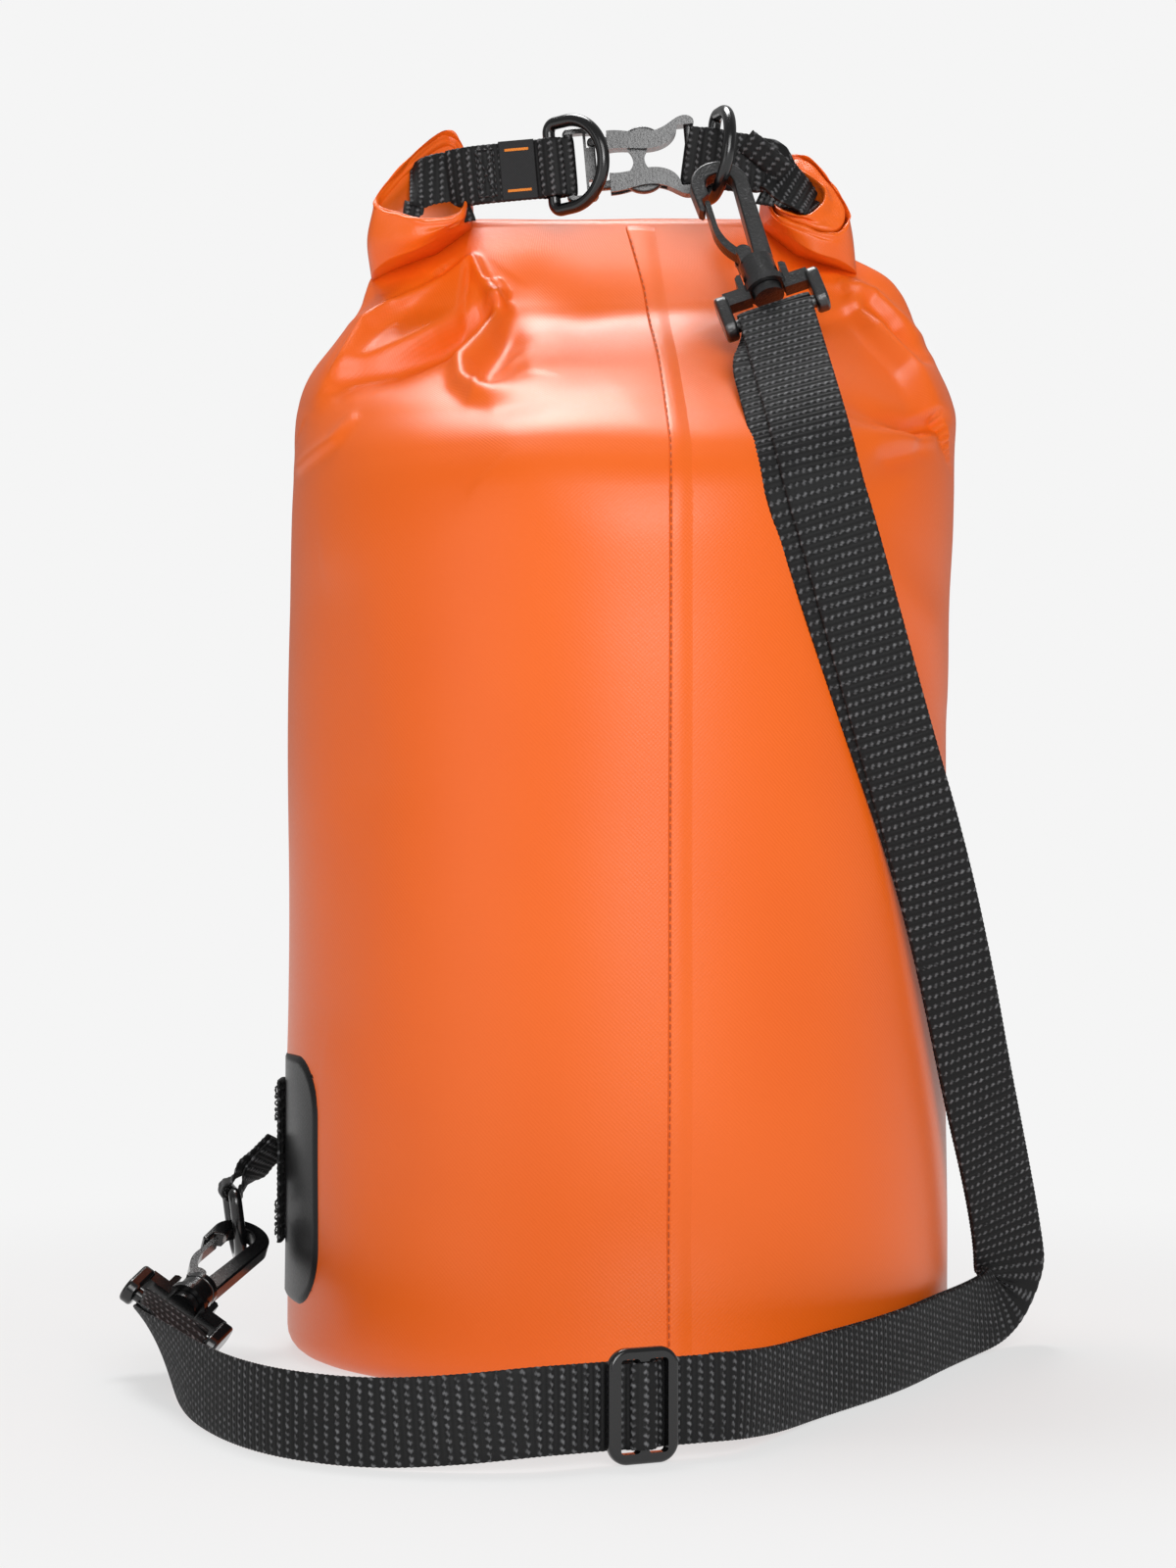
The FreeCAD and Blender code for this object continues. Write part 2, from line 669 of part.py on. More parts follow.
# middle of the outer layer, and the way its width runs, from the upper yoke to the lower one
ROUTE = [
    ((55.5, -74.5, 329.5), (0.95, 0, 0.31)),
    ((58.5, -91.5, 313.5), (0.95, 0, 0.31)),
    ((61.5, -102.5, 299), (0.955, 0, 0.29)),
    ((64.5, -106, 285), (0.96, 0, 0.28)),
    ((68.5, -103.5, 273), (0.96, 0, 0.28)),
    ((77.5, -98, 242), (0.965, 0, 0.26)),
    ((88.7, -88.5, 204.5), (0.965, 0, 0.26)),
    ((100.8, -75.5, 167), (0.965, 0, 0.26)),
    ((111.2, -60, 128), (0.95, 0.15, 0.26)),
    ((119.5, -43, 93), (0.93, 0.28, 0.2)),
    ((128.7, -22, 60), (0.86, 0.45, 0.05)),
    ((134, -7, 37), (0.75, 0.5, -0.3)),
    ((135.5, 0, 22), (0.55, 0.3, -0.75)),
    ((130, -8, 14.5), (0.2, 0.05, -0.97)),
    ((119, -28, floor_z), DOWN),
    ((105, -60, floor_z), DOWN),
    ((93, -90, floor_z), DOWN),
    ((79, -118, floor_z), DOWN),
    ((60, -150, floor_z), DOWN),
    ((46, -183, 14), DOWN),
    (tuple(SLIDER - slider_way * 33), DOWN),
    (tuple(SLIDER - slider_way * 24), DOWN),
    (tuple(SLIDER), DOWN),
    (tuple(SLIDER + slider_way * 24), DOWN),
    (tuple(SLIDER + slider_way * 33), DOWN),
    ((-46, -239, 14.5), DOWN),
    ((-70, -235, floor_z), DOWN),
    ((-94, -221, floor_z), DOWN),
    ((-112, -197, floor_z), DOWN),
    ((-127, -162, floor_z), DOWN),
    ((-138, -126, 13), (0.15, 0, -0.98)),
    ((-146.5, -97.7, 15.2), (0.5, -0.09, -0.84)),
]


def blend_points(a, b, c, d, t):
    """A point of the Catmull-Rom curve between b and c."""
    return (
        b * 2 + (c - a) * t + (a * 2 - b * 5 + c * 4 - d) * (t * t)
        + (b * 3 - a - c * 3 + d) * (t * t * t)
    ) * 0.5


def stations(points, widths, step):
    """Places along the strap: x across its width, y its outward face, z along it."""
    points = [points[0] * 2 - points[1], *points, points[-1] * 2 - points[-2]]
    widths = [widths[0], *widths, widths[-1]]
    places = []
    last = len(points) - 3
    for n in range(1, last + 1):
        parts = max(1, round(points[n].distanceToPoint(points[n + 1]) / step))
        for k in range(parts + (n == last)):
            t = k / parts
            here = blend_points(*points[n - 1 : n + 3], t)
            ahead = blend_points(*points[n - 1 : n + 3], t + 0.01)
            behind = blend_points(*points[n - 1 : n + 3], t - 0.01)
            across = blend_points(*widths[n - 1 : n + 3], t)
            places.append(frame(here, across, ahead - behind))
    return places


def layer(name, places, offsets):
    """A layer of webbing: a ruled loft through upright sections, each moved off the route."""
    sections = []
    for n, (place, inwards) in enumerate(zip(places, offsets)):
        section = doc.addObject("Part::Plane", f"{name}_{n}")
        bind(section, Length="$strap", Width="$strap_thick")
        corner = Vector(-z.strap / 2, -inwards - z.strap_thick / 2, 0)
        section.Placement = place.multiply(Placement(corner, Rotation()))
        sections.append(section)
    loft = doc.addObject("Part::Loft", name)
    loft.Sections, loft.Solid, loft.Ruled = sections, True, True
    return node(loft, name)


def end_frame(yoke_place, along):
    """Where the strap leaves a crossbar: x along the bar, z as near along as it can be."""
    bar_way = yoke_place.Rotation.multVec(X)
    way = unit(Vector(along) - bar_way * bar_way.dot(Vector(along)))
    return frame(yoke_place.Base, bar_way, way)


upper_end = end_frame(upper_yoke_place, (0.12, -0.62, -0.77))
lower_end = end_frame(lower_yoke_place, (0.1, 0.98, 0))
first = upper_end.multVec(Vector(0, LOOP_RADIUS, 0))
final = lower_end.multVec(Vector(0, LOOP_RADIUS, 0))
centres = [first, *(Vector(*p) for p, _ in ROUTE), final]
bar_ways = [upper_end.Rotation.multVec(X), lower_end.Rotation.multVec(X)]
across_ways = [bar_ways[0], *(Vector(*w) for _, w in ROUTE), bar_ways[1]]
places = stations(centres, across_ways, 9.0)
places[0] = Placement(first, upper_end.Rotation)
places[-1] = Placement(final, lower_end.Rotation)
layer("shoulder_strap", places, [0] * len(places))

# the inner layer runs back from the upper yoke to the slider
spacing = z.strap_thick + z.layer_gap
near_slider = min(
    range(len(places)), key=lambda n: places[n].Base.distanceToPoint(SLIDER - slider_way * 24)
)
spread = [2 * LOOP_RADIUS] + [
    max(spacing, 2 * LOOP_RADIUS - 2.2 * n) for n in range(1, near_slider + 1)
]
layer("strap_return", places[: near_slider + 1], spread)

# the sewn end of the strap at the lower yoke
tail_count = 5
tail_spread = [2 * LOOP_RADIUS] + [
    max(spacing, 2 * LOOP_RADIUS - 2.2 * n) for n in range(1, tail_count)
]
layer("strap_sewn_end", places[-tail_count:], tail_spread[::-1])


def end_loop(label, place, way):
    """The half turn of webbing round a crossbar; way is 1 or -1 along the strap."""
    lying = at(place, turn=Rotation(Y, 90))
    tube = rod(label + "_tube", lying, LOOP_RADIUS + z.strap_thick / 2, z.strap, Height="$strap")
    hole = rod(label + "_hole", lying, LOOP_RADIUS - z.strap_thick / 2, z.strap + 2)
    half = box(label + "_half", at(place, height=way * 10), 40, 40, 20)
    return node(cut(label, tube, hole, half), label)


end_loop("upper_loop", upper_end, 1)
end_loop("lower_loop", lower_end, -1)

# ---------------------------------------------------------------- slider
slider_frame = frame(SLIDER, DOWN, slider_way)
SLIDER_OUT = z.strap_thick / 2 + z.moving_gap + z.slider_thick / 2
slider_place = at(slider_frame, 0, SLIDER_OUT)
slider = body("strap_slider", slider_place)
half_long, half_wide = z.slider_long / 2, z.slider_wide / 2
plate = sketch(slider, "plate", "XZ")
rounded(plate, -half_long, -half_wide, half_long, half_wide, 6.0)
plate_pad = pad(slider, plate, "$slider_thick")
soften(slider, plate_pad, 1.2, on_face(z.slider_thick / 2))
windows = sketch(slider, "windows", "XZ")
window_half = z.strap / 2 + 0.7
for side in (1, -1):
    near, far = sorted((side * z.slider_bar / 2, side * (half_wide - 3.6)))
    rounded(windows, -window_half, near, window_half, far, 1.2)
pocket(slider, windows, "2 * $slider_thick")
node(slider, "strap_slider")

# the short turn of webbing over the slider's middle bar
turn_body = body("slider_turn", slider_place)
over = z.slider_thick / 2 + z.fit
top, reach = over + z.strap_thick, half_wide - 4.1
turn_sketch = sketch(turn_body, "turn_side", "YZ")
foot = 0.2 - z.slider_thick / 2
outline(
    turn_sketch,
    (foot, -reach),
    [(over - 0.4, -4.3), (top - 0.4, -2.2), (top, 0), (top - 0.4, 2.2), (over - 0.4, 4.3),
     (foot, reach)],
    (foot, reach - 2.4),
    [(over - 0.6, 2.3), (over, 0), (over - 0.6, -2.3), (foot, 2.4 - reach)],
)
pad(turn_body, turn_sketch, "$strap")
node(turn_body, "slider_turn")

# ---------------------------------------------------------------- lower anchor
patch_middle = (z.patch_low + z.patch_high) / 2
shell = cut(
    "patch_shell",
    rod("patch_out", Placement(), z.bag_radius + z.patch_thick, z.bag_ridge / 2, 0),
    rod("patch_in", Placement(), z.bag_radius + 0.02, z.bag_ridge / 2, 0),
)
patch_block = body("patch_block", Placement(Vector(-z.bag_radius, 0, 0), Rotation()))
rounded(
    sketch(patch_block, "patch_outline", "YZ"),
    -z.patch_half, z.patch_low, z.patch_half, z.patch_high, z.patch_corner,
)
pad(patch_block, patch_block.Group[-1], "0.6 * $bag_radius")
node(common("side_patch", shell, patch_block), "side_patch")

ANCHOR_Y, STRIP_OUT = -5.1, 2.2
strip_face = -(z.bag_radius + z.patch_thick)
strip_cut = rod(
    "strip_cut", Placement(), z.bag_radius + z.patch_thick + 0.02, z.bag_ridge / 2, 0
)
strip_raw = box(
    "strip_raw", Placement(Vector(strip_face - STRIP_OUT + 3, ANCHOR_Y, 64.5), Rotation()),
    6, z.web, 55, (0, 0.5, 0.5), Width="$web",
)
node(cut("anchor_strip", strip_raw, strip_cut), "anchor_strip")

# the loop of webbing that stands out from the strip and holds the lower ring
tab_root = Vector(strip_face - STRIP_OUT, ANCHOR_Y, 70)
tab_way = lower_ring_place.Base - tab_root
tab_frame = frame(tab_root, lower_ring_place.Rotation.multVec(Z), tab_way)
tab = box(
    "tab", tab_frame, z.web, 2 * z.web_thick, tab_way.Length, (0.5, 0.5, 0),
    Length="$web", Width="2 * $web_thick",
)
eye_out = rod("eye_out", lower_ring_place, eye_ring + z.web_thick, z.web, Height="$web")
eye_hole = rod("eye_hole", lower_ring_place, eye_ring, z.web + 8)
tab_trim = box(
    "tab_trim", Placement(tab_root, Rotation()), 12, 60, 40, (0, 0.5, 0.5)
)
node(cut("anchor_loop", fuse("anchor_loop", tab, eye_out), eye_hole, tab_trim), "anchor_loop")

# ---------------------------------------------------------------- check and write
doc.recompute()
for thing in doc.Objects:
    if any(word in thing.State for word in ("Invalid", "Error")):
        raise RuntimeError(f"{thing.Label} did not compute: {thing.State}")
    if thing.isDerivedFrom("Part::Cut") and thing.Shape.Volume < 1:
        raise RuntimeError(f"{thing.Label} came out empty")
os.makedirs("parts", exist_ok=True)
for thing in NODES:
    if thing.Shape.isNull() or not thing.Shape.isValid() or not thing.Shape.Solids:
        raise RuntimeError(f"{thing.Label} has no valid solid")
    thing.Shape.exportStep(f"parts/{thing.Label}.step")
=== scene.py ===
import math

import bmesh
import bpy
import numpy as np
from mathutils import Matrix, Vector


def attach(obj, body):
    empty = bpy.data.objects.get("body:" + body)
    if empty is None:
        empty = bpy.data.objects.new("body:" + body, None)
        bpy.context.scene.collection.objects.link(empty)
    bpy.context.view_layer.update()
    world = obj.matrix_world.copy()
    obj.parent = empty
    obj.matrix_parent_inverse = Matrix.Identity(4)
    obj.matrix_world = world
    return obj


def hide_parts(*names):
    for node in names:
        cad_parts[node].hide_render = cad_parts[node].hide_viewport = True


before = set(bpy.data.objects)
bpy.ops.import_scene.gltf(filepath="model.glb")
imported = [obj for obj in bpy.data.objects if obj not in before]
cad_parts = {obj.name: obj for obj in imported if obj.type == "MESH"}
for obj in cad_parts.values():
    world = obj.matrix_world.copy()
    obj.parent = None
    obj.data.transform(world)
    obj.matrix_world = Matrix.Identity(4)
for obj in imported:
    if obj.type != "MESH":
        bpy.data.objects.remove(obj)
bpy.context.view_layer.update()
MM = 0.001


# ---------------------------------------------------------------- camera
LENS = 79.9                       # mm on a 36 mm sensor
PITCH = 0.82                      # degrees, upwards
camera = bpy.data.objects.new("camera", bpy.data.cameras.new("camera"))
bpy.context.collection.objects.link(camera)
camera.location = (-0.010, -1.200, 0.176)
camera.rotation_euler = (math.radians(90 + PITCH), 0, 0)
camera.data.lens = LENS
camera.data.clip_start = 0.05
bpy.context.scene.camera = camera


# ---------------------------------------------------------------- curves and surfaces
def curve(points, count, closed=False):
    """Catmull-Rom curve through points along axis 0: p(t) = (2b + (c-a)t + (2a-5b+4c-d)t^2
    + (3b-a-3c+d)t^3) / 2 between b and c, sampled evenly in t."""
    p = np.asarray(points, float)
    n = len(p)
    if closed:
        t = np.arange(count) * n / count
        i = np.floor(t).astype(int)
        a, b, c, d = (p[(i + k) % n] for k in (-1, 0, 1, 2))
    else:
        t = np.linspace(0, n - 1, count)
        i = np.minimum(np.floor(t).astype(int), n - 2)
        q = np.concatenate([2 * p[:1] - p[1:2], p, 2 * p[-1:] - p[-2:-1]])
        a, b, c, d = (q[i + k] for k in (0, 1, 2, 3))
    s = (t - i).reshape((-1,) + (1,) * (p.ndim - 1))
    cubic = (3 * b - a - 3 * c + d) * s**3
    return (2 * b + (c - a) * s + (2 * a - 5 * b + 4 * c - d) * s**2 + cubic) / 2


def evened(points, step):
    """The same line with points every step along it."""
    p = np.asarray(points, float)
    run = np.concatenate([[0], np.cumsum(np.linalg.norm(np.diff(p, axis=0), axis=1))])
    at = np.linspace(0, run[-1], max(2, round(run[-1] / step)) + 1)
    return np.stack([np.interp(at, run, p[:, k]) for k in range(p.shape[1])], 1), at


def unit(v):
    return v / np.maximum(np.linalg.norm(v, axis=-1, keepdims=True), 1e-12)


def ease(x):
    """0 below 0, 1 above 1, and 3x^2 - 2x^3 between."""
    x = np.clip(x, 0, 1)
    return x * x * (3 - 2 * x)


def surface(name, points, material, body="bag", ring=False, across=None, along=None, caps=False):
    """A mesh of a grid of points, row by row. ring joins the last column to the first; across and
    along are the UV map's lengths at the columns and rows; caps close the first and last rows."""
    rows, cols, _ = points.shape
    i, j = np.meshgrid(np.arange(rows - 1), np.arange(cols if ring else cols - 1), indexing="ij")
    i, j = i.ravel(), j.ravel()
    corner_rows = np.stack([i, i, i + 1, i + 1], 1)
    corner_cols = np.stack([j, j + 1, j + 1, j], 1)
    faces = (corner_rows * cols + corner_cols % cols).tolist()
    if across is None:
        step = np.linalg.norm(np.diff(points[rows // 2], axis=0), axis=1)
        across = np.concatenate([[0], np.cumsum(step), [step.sum() + step.mean()]])
    if along is None:
        step = np.linalg.norm(np.diff(points[:, cols // 4], axis=0), axis=1)
        along = np.concatenate([[0], np.cumsum(step)])
    uv = np.stack([across[corner_cols], along[corner_rows]], -1).reshape(-1, 2)
    if caps:
        faces += [list(range(cols))[::-1], list(range((rows - 1) * cols, rows * cols))]
        end_uv = [(across[k], along[0]) for k in range(cols)][::-1]
        uv = np.concatenate([uv, end_uv, [(across[k], along[-1]) for k in range(cols)]])
    mesh = bpy.data.meshes.new(name)
    mesh.from_pydata(points.reshape(-1, 3).tolist(), [], faces)
    mesh.uv_layers.new(name="cloth").data.foreach_set("uv", uv.astype(np.float32).ravel())
    mesh.polygons.foreach_set("use_smooth", np.ones(len(faces), bool))
    if ring and caps:
        face_outwards(mesh)
    mesh.update()
    mesh.materials.append(material)
    return place(bpy.data.objects.new(name, mesh), body)


def face_outwards(mesh):
    """Turns a closed mesh's faces to the outside, by the sign of its volume."""
    closed = bmesh.new()
    closed.from_mesh(mesh)
    if closed.calc_volume(signed=True) < 0:
        bmesh.ops.reverse_faces(closed, faces=closed.faces)
    closed.to_mesh(mesh)
    closed.free()


def place(thing, body):
    bpy.context.collection.objects.link(thing)
    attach(thing, body)
    return thing


def thicken(thing, thickness, side=-1.0):
    """A wall of even thickness, on the inside of the surface where side is -1."""
    wall = thing.modifiers.new("wall", "SOLIDIFY")
    wall.thickness, wall.offset = thickness, side
    wall.use_even_offset = False
    return thing


# ---------------------------------------------------------------- finishes
RIB = 1.8                         # mm from one crosswise rib of the webbing to the next


def linear(code):
    """An sRGB hex colour as linear red, green, blue and 1."""
    values = [int(code[k:k + 2], 16) / 255 for k in (1, 3, 5)]
    return (*[v / 12.92 if v <= 0.04045 else ((v + 0.055) / 1.055) ** 2.4 for v in values], 1)


def add(tree, kind, links=None, **settings):
    """Adds a node; links are socket to another node's output, or to a plain value."""
    made = tree.nodes.new(kind)
    for key, value in settings.items():
        setattr(made, key, value)
    for socket, source in (links or {}).items():
        if isinstance(source, bpy.types.NodeSocket):
            tree.links.new(source, made.inputs[socket])
        else:
            made.inputs[socket].default_value = source
    return made


def finish(name, **values):
    """A material with its Principled shader's plain values set; returns it, its tree and shader."""
    material = bpy.data.materials.new(name)
    material.use_nodes = True
    shader = material.node_tree.nodes["Principled BSDF"]
    for socket, value in values.items():
        shader.inputs[socket.replace("_", " ")].default_value = value
    return material, material.node_tree, shader


def coated_cloth(name, light, dark, scrim=1.4, gloss=0.22):
    """PVC-coated polyester tarpaulin: a satin, slightly waxy film over a woven scrim, whose
    threads every 1.4 mm press a faint grid into the film."""
    material, tree, shader = finish(
        name, Roughness=0.42, IOR=1.5, Coat_Weight=gloss, Coat_Roughness=0.3, Coat_IOR=1.45,
        Specular_IOR_Level=1.6 * gloss
    )
    uv = add(tree, "ShaderNodeTexCoord").outputs["UV"]
    spot = add(tree, "ShaderNodeTexCoord").outputs["Object"]
    split = add(tree, "ShaderNodeSeparateXYZ", {0: add(
        tree, "ShaderNodeVectorMath", {0: uv, "Scale": 2 * math.pi / (scrim * MM)},
        operation="SCALE").outputs[0]})
    waves = [add(tree, "ShaderNodeMath", {0: split.outputs[k]}, operation="SINE").outputs[0]
             for k in (0, 1)]
    grid = add(tree, "ShaderNodeMath", {0: waves[0], 1: waves[1]}, operation="MULTIPLY").outputs[0]
    drape = add(tree, "ShaderNodeTexNoise", {"Vector": spot, "Scale": 14, "Detail": 2})
    grain = add(tree, "ShaderNodeTexNoise", {"Vector": spot, "Scale": 900, "Detail": 1})
    tone = add(tree, "ShaderNodeMix", {0: drape.outputs[0], 6: linear(dark), 7: linear(light)},
               data_type="RGBA")
    tree.links.new(tone.outputs[2], shader.inputs["Base Color"])
    height = add(tree, "ShaderNodeMath", {0: grid, 1: 0.6, 2: grain.outputs[0]},
                 operation="MULTIPLY_ADD")
    bump = add(tree, "ShaderNodeBump", {"Height": height.outputs[0], "Strength": 0.3,
                                        "Distance": 0.1 * MM})
    tree.links.new(bump.outputs[0], shader.inputs["Normal"])
    rough = add(tree, "ShaderNodeMapRange", {0: grain.outputs[0], 3: 0.34, 4: 0.46})
    tree.links.new(rough.outputs[0], shader.inputs["Roughness"])
    return material


def woven_webbing(name, rib=RIB, thread=1.1):
    """Ribbed polyester webbing: black yarn in crosswise ribs every 1.8 mm, each rib a row of
    threads whose crowns carry a painted highlight: small grey specks painted into the base colour."""
    material, tree, shader = finish(name, Roughness=0.66, IOR=1.5, Sheen_Weight=0.03,
                                    Sheen_Roughness=0.4, Specular_IOR_Level=0.3)
    uv = add(tree, "ShaderNodeTexCoord").outputs["UV"]
    split = add(tree, "ShaderNodeSeparateXYZ", {0: uv})
    ribs = add(tree, "ShaderNodeMath", {0: split.outputs[1], 1: 1 / (rib * MM)},
               operation="MULTIPLY")
    row = add(tree, "ShaderNodeMath", {0: ribs.outputs[0]}, operation="FLOOR")
    shift = add(tree, "ShaderNodeMath", {0: row.outputs[0], 1: 0.37}, operation="MULTIPLY")
    yarns = add(tree, "ShaderNodeMath", {0: split.outputs[0], 1: 1 / (thread * MM),
                                         2: shift.outputs[0]}, operation="MULTIPLY_ADD")
    crowns = []
    for source in (ribs, yarns):
        turn = add(tree, "ShaderNodeMath", {0: source.outputs[0], 1: 1.0}, operation="PINGPONG")
        smooth = add(tree, "ShaderNodeMapRange", {0: turn.outputs[0], 1: 0.0, 2: 1.0},
                     interpolation_type="SMOOTHSTEP")
        crowns.append(smooth.outputs[0])
    share = add(tree, "ShaderNodeMath", {0: crowns[1], 1: 0.62, 2: 0.38},
                operation="MULTIPLY_ADD").outputs[0]
    crown = add(tree, "ShaderNodeMath", {0: crowns[0], 1: share}, operation="MULTIPLY")
    fuzz = add(tree, "ShaderNodeTexNoise", {"Vector": uv, "Scale": 700, "Detail": 2})
    # painted highlight: the thread crowns are painted lighter grey in the base colour, standing in
    # for light caught on them
    painted_glint_speck = add(tree, "ShaderNodeMath", {0: crown.outputs[0], 1: fuzz.outputs[0]},
                operation="MULTIPLY")
    lit = add(tree, "ShaderNodeMapRange", {0: painted_glint_speck.outputs[0], 1: 0.24, 2: 0.62})
    tone = add(tree, "ShaderNodeMix", {0: lit.outputs[0], 6: linear("#09090A"),
                                       7: linear("#68686A")}, data_type="RGBA")
    tree.links.new(tone.outputs[2], shader.inputs["Base Color"])
    bump = add(tree, "ShaderNodeBump", {"Height": crown.outputs[0], "Strength": 0.8,
                                        "Distance": 0.25 * MM})
    tree.links.new(bump.outputs[0], shader.inputs["Normal"])
    return material


def moulded_acetal(name, tone="#161617", grain=1300, shine=0.34, pit=0.16):
    """Black acetal, injection moulded in a lightly spark-eroded tool: glossy, with a fine grain
    that breaks its reflections into grey speckle."""
    material, tree, shader = finish(name, Roughness=shine, IOR=1.48, Coat_Weight=0.5,
                                    Coat_Roughness=shine, Specular_IOR_Level=2.2 * shine)
    spot = add(tree, "ShaderNodeTexCoord").outputs["Object"]
    pits = add(tree, "ShaderNodeTexNoise", {"Vector": spot, "Scale": grain, "Detail": 3})
    broad = add(tree, "ShaderNodeTexNoise", {"Vector": spot, "Scale": 90, "Detail": 2})
    mix = add(tree, "ShaderNodeMix", {0: pits.outputs[0], 6: linear("#060607"), 7: linear(tone)},
              data_type="RGBA")
    tree.links.new(mix.outputs[2], shader.inputs["Base Color"])
    rough = add(tree, "ShaderNodeMapRange", {0: broad.outputs[0], 3: 0.8 * shine, 4: 1.25 * shine})
    tree.links.new(rough.outputs[0], shader.inputs["Roughness"])
    bump = add(tree, "ShaderNodeBump", {"Height": pits.outputs[0], "Strength": 0.9,
                                        "Distance": pit * MM})
    tree.links.new(bump.outputs[0], shader.inputs["Normal"])
    return material


def fine_weave(name, light, dark, pitch=0.45):
    """Close plain-woven cloth or tape: threads over and under, every 0.45 mm."""
    material, tree, shader = finish(name, Roughness=0.6, IOR=1.5, Specular_IOR_Level=0.3)
    uv = add(tree, "ShaderNodeTexCoord").outputs["UV"]
    check = add(tree, "ShaderNodeTexChecker", {"Vector": uv, "Scale": 1 / (pitch * MM)})
    fuzz = add(tree, "ShaderNodeTexNoise", {"Vector": uv, "Scale": 300, "Detail": 3})
    blend = add(tree, "ShaderNodeMath", {0: check.outputs["Fac"], 1: fuzz.outputs[0]},
                operation="MULTIPLY")
    tone = add(tree, "ShaderNodeMix", {0: blend.outputs[0], 6: linear(dark), 7: linear(light)},
               data_type="RGBA")
    tree.links.new(tone.outputs[2], shader.inputs["Base Color"])
    bump = add(tree, "ShaderNodeBump", {"Height": blend.outputs[0], "Strength": 0.4,
                                        "Distance": 0.08 * MM})
    tree.links.new(bump.outputs[0], shader.inputs["Normal"])
    return material


def twisted_thread(name, code):
    """Bonded polyester sewing thread, with the slight shine of its twist."""
    material, tree, shader = finish(name, Roughness=0.45)
    spot = add(tree, "ShaderNodeTexCoord").outputs["Object"]
    fuzz = add(tree, "ShaderNodeTexNoise", {"Vector": spot, "Scale": 2500, "Detail": 1})
    darker = tuple(c * 0.55 for c in linear(code)[:3]) + (1,)
    tone = add(tree, "ShaderNodeMix", {0: fuzz.outputs[0], 6: darker, 7: linear(code)},
               data_type="RGBA")
    tree.links.new(tone.outputs[2], shader.inputs["Base Color"])
    return material


tarpaulin = coated_cloth("pvc_tarpaulin_orange", "#EC6712", "#E25C0C")
webbing_black = woven_webbing("polyester_webbing_black")
acetal_grained = moulded_acetal("acetal_grained_black", pit=0.3, grain=1000)
acetal_smooth = moulded_acetal("acetal_polished_black", "#0E0E0F", shine=0.2, pit=0.04)
patch_cloth = coated_cloth("pvc_patch_black", "#19191A", "#131314", gloss=0.12)
label_weave = fine_weave("damask_label_black", "#222225", "#0A0A0B")
thread_black = twisted_thread("bonded_thread_black", "#2A2A2C")
thread_orange = twisted_thread("bonded_thread_orange", "#C4500F")
mark_weave = fine_weave("damask_label_mark", "#F0902A", "#C8701A")

# ---------------------------------------------------------------- the bag
BAG_RADIUS = 113.0                # of the tube, in mm
# height, left edge, right edge, half depth and backward lean of its sections, in mm
SECTIONS = np.array([
    (10.0, 113.0, 113.0, 113.0, 0.0),
    (60.0, 113.0, 113.0, 113.0, 0.0),
    (150.0, 113.0, 113.0, 113.0, 0.0),
    (240.0, 113.0, 113.6, 113.0, 0.0),
    (280.0, 112.0, 115.2, 113.0, 0.0),
    (300.0, 111.0, 115.6, 103.0, 0.0),
    (314.0, 110.6, 114.4, 85.3, 1.2),
    (325.0, 109.0, 112.6, 68.0, 2.0),
    (335.0, 105.0, 108.0, 52.3, 3.2),
    (345.0, 97.0, 104.5, 38.3, 4.8),
    (352.0, 91.5, 102.8, 29.8, 6.2),
    (358.0, 88.6, 101.3, 24.8, 6.8),
    (364.0, 87.2, 98.6, 20.5, 7.7),
    (370.0, 85.0, 93.5, 16.6, 9.0),
    (376.0, 79.0, 83.0, 13.0, 10.8),
    (382.0, 68.0, 71.0, 10.0, 13.2),
    (388.0, 58.0, 60.0, 7.4, 16.0),
])
BOTTOM_ROUND = 9.0
BAG_COLUMNS, BAG_ROWS = 330, 200


def sections_at(height):
    """The sections between the stated ones, by a smooth curve through them."""
    dense = curve(SECTIONS, 600)
    dense[:, 0] = np.maximum.accumulate(dense[:, 0] + np.arange(600) * 1e-7)
    return [np.interp(height, dense[:, 0], dense[:, k]) for k in (1, 2, 3, 4)]


def bag_shell(angle, height, grow=0.0):
    """Points of the unwrinkled bag, in mm: x = middle + half width cos a, y = lean + half depth
    sin a, with the front at a = -90 degrees."""
    left, right, deep, lean = sections_at(height)
    x = (right - left) / 2 + ((right + left) / 2 + grow) * np.cos(angle)
    return np.stack([x, lean + (deep + grow) * np.sin(angle), height + 0 * angle], -1)


def fold(x, z, line):
    """How far a fold stands out: a bell across its line, with its own width on each side. Points
    of the line are (x, z, height, width to the left, width to the right), in mm."""
    best = np.full(x.shape, 1e9)
    out = np.zeros(x.shape)
    for a, b in zip(line, line[1:]):
        ax, az, bx, bz = a[0], a[1], b[0], b[1]
        run = math.hypot(bx - ax, bz - az)
        ux, uz = (bx - ax) / run, (bz - az) / run
        t = np.clip(((x - ax) * ux + (z - az) * uz) / run, 0, 1)
        off_x, off_z = x - ax - t * run * ux, z - az - t * run * uz
        far = np.hypot(off_x, off_z)
        to_right = off_x * uz - off_z * ux > 0
        high, left, right = (a[k] + (b[k] - a[k]) * t for k in (2, 3, 4))
        value = high * np.exp(-((far / np.where(to_right, right, left)) ** 2))
        nearer = far < best
        best, out = np.where(nearer, far, best), np.where(nearer, value, out)
    return out


def facet(x, z, corners, height, edge):
    """A raised flat facet: full height inside its convex outline, easing off over its edge."""
    inside = np.full(x.shape, 1e9)
    turning = 0.0
    for (ax, az), (bx, bz) in zip(corners, corners[1:] + corners[:1]):
        turning += ax * bz - bx * az
    for (ax, az), (bx, bz) in zip(corners, corners[1:] + corners[:1]):
        run = math.hypot(bx - ax, bz - az)
        away = ((bx - ax) * (z - az) - (bz - az) * (x - ax)) / run
        inside = np.minimum(inside, away if turning > 0 else -away)
    return height * ease(inside / edge + 0.5)


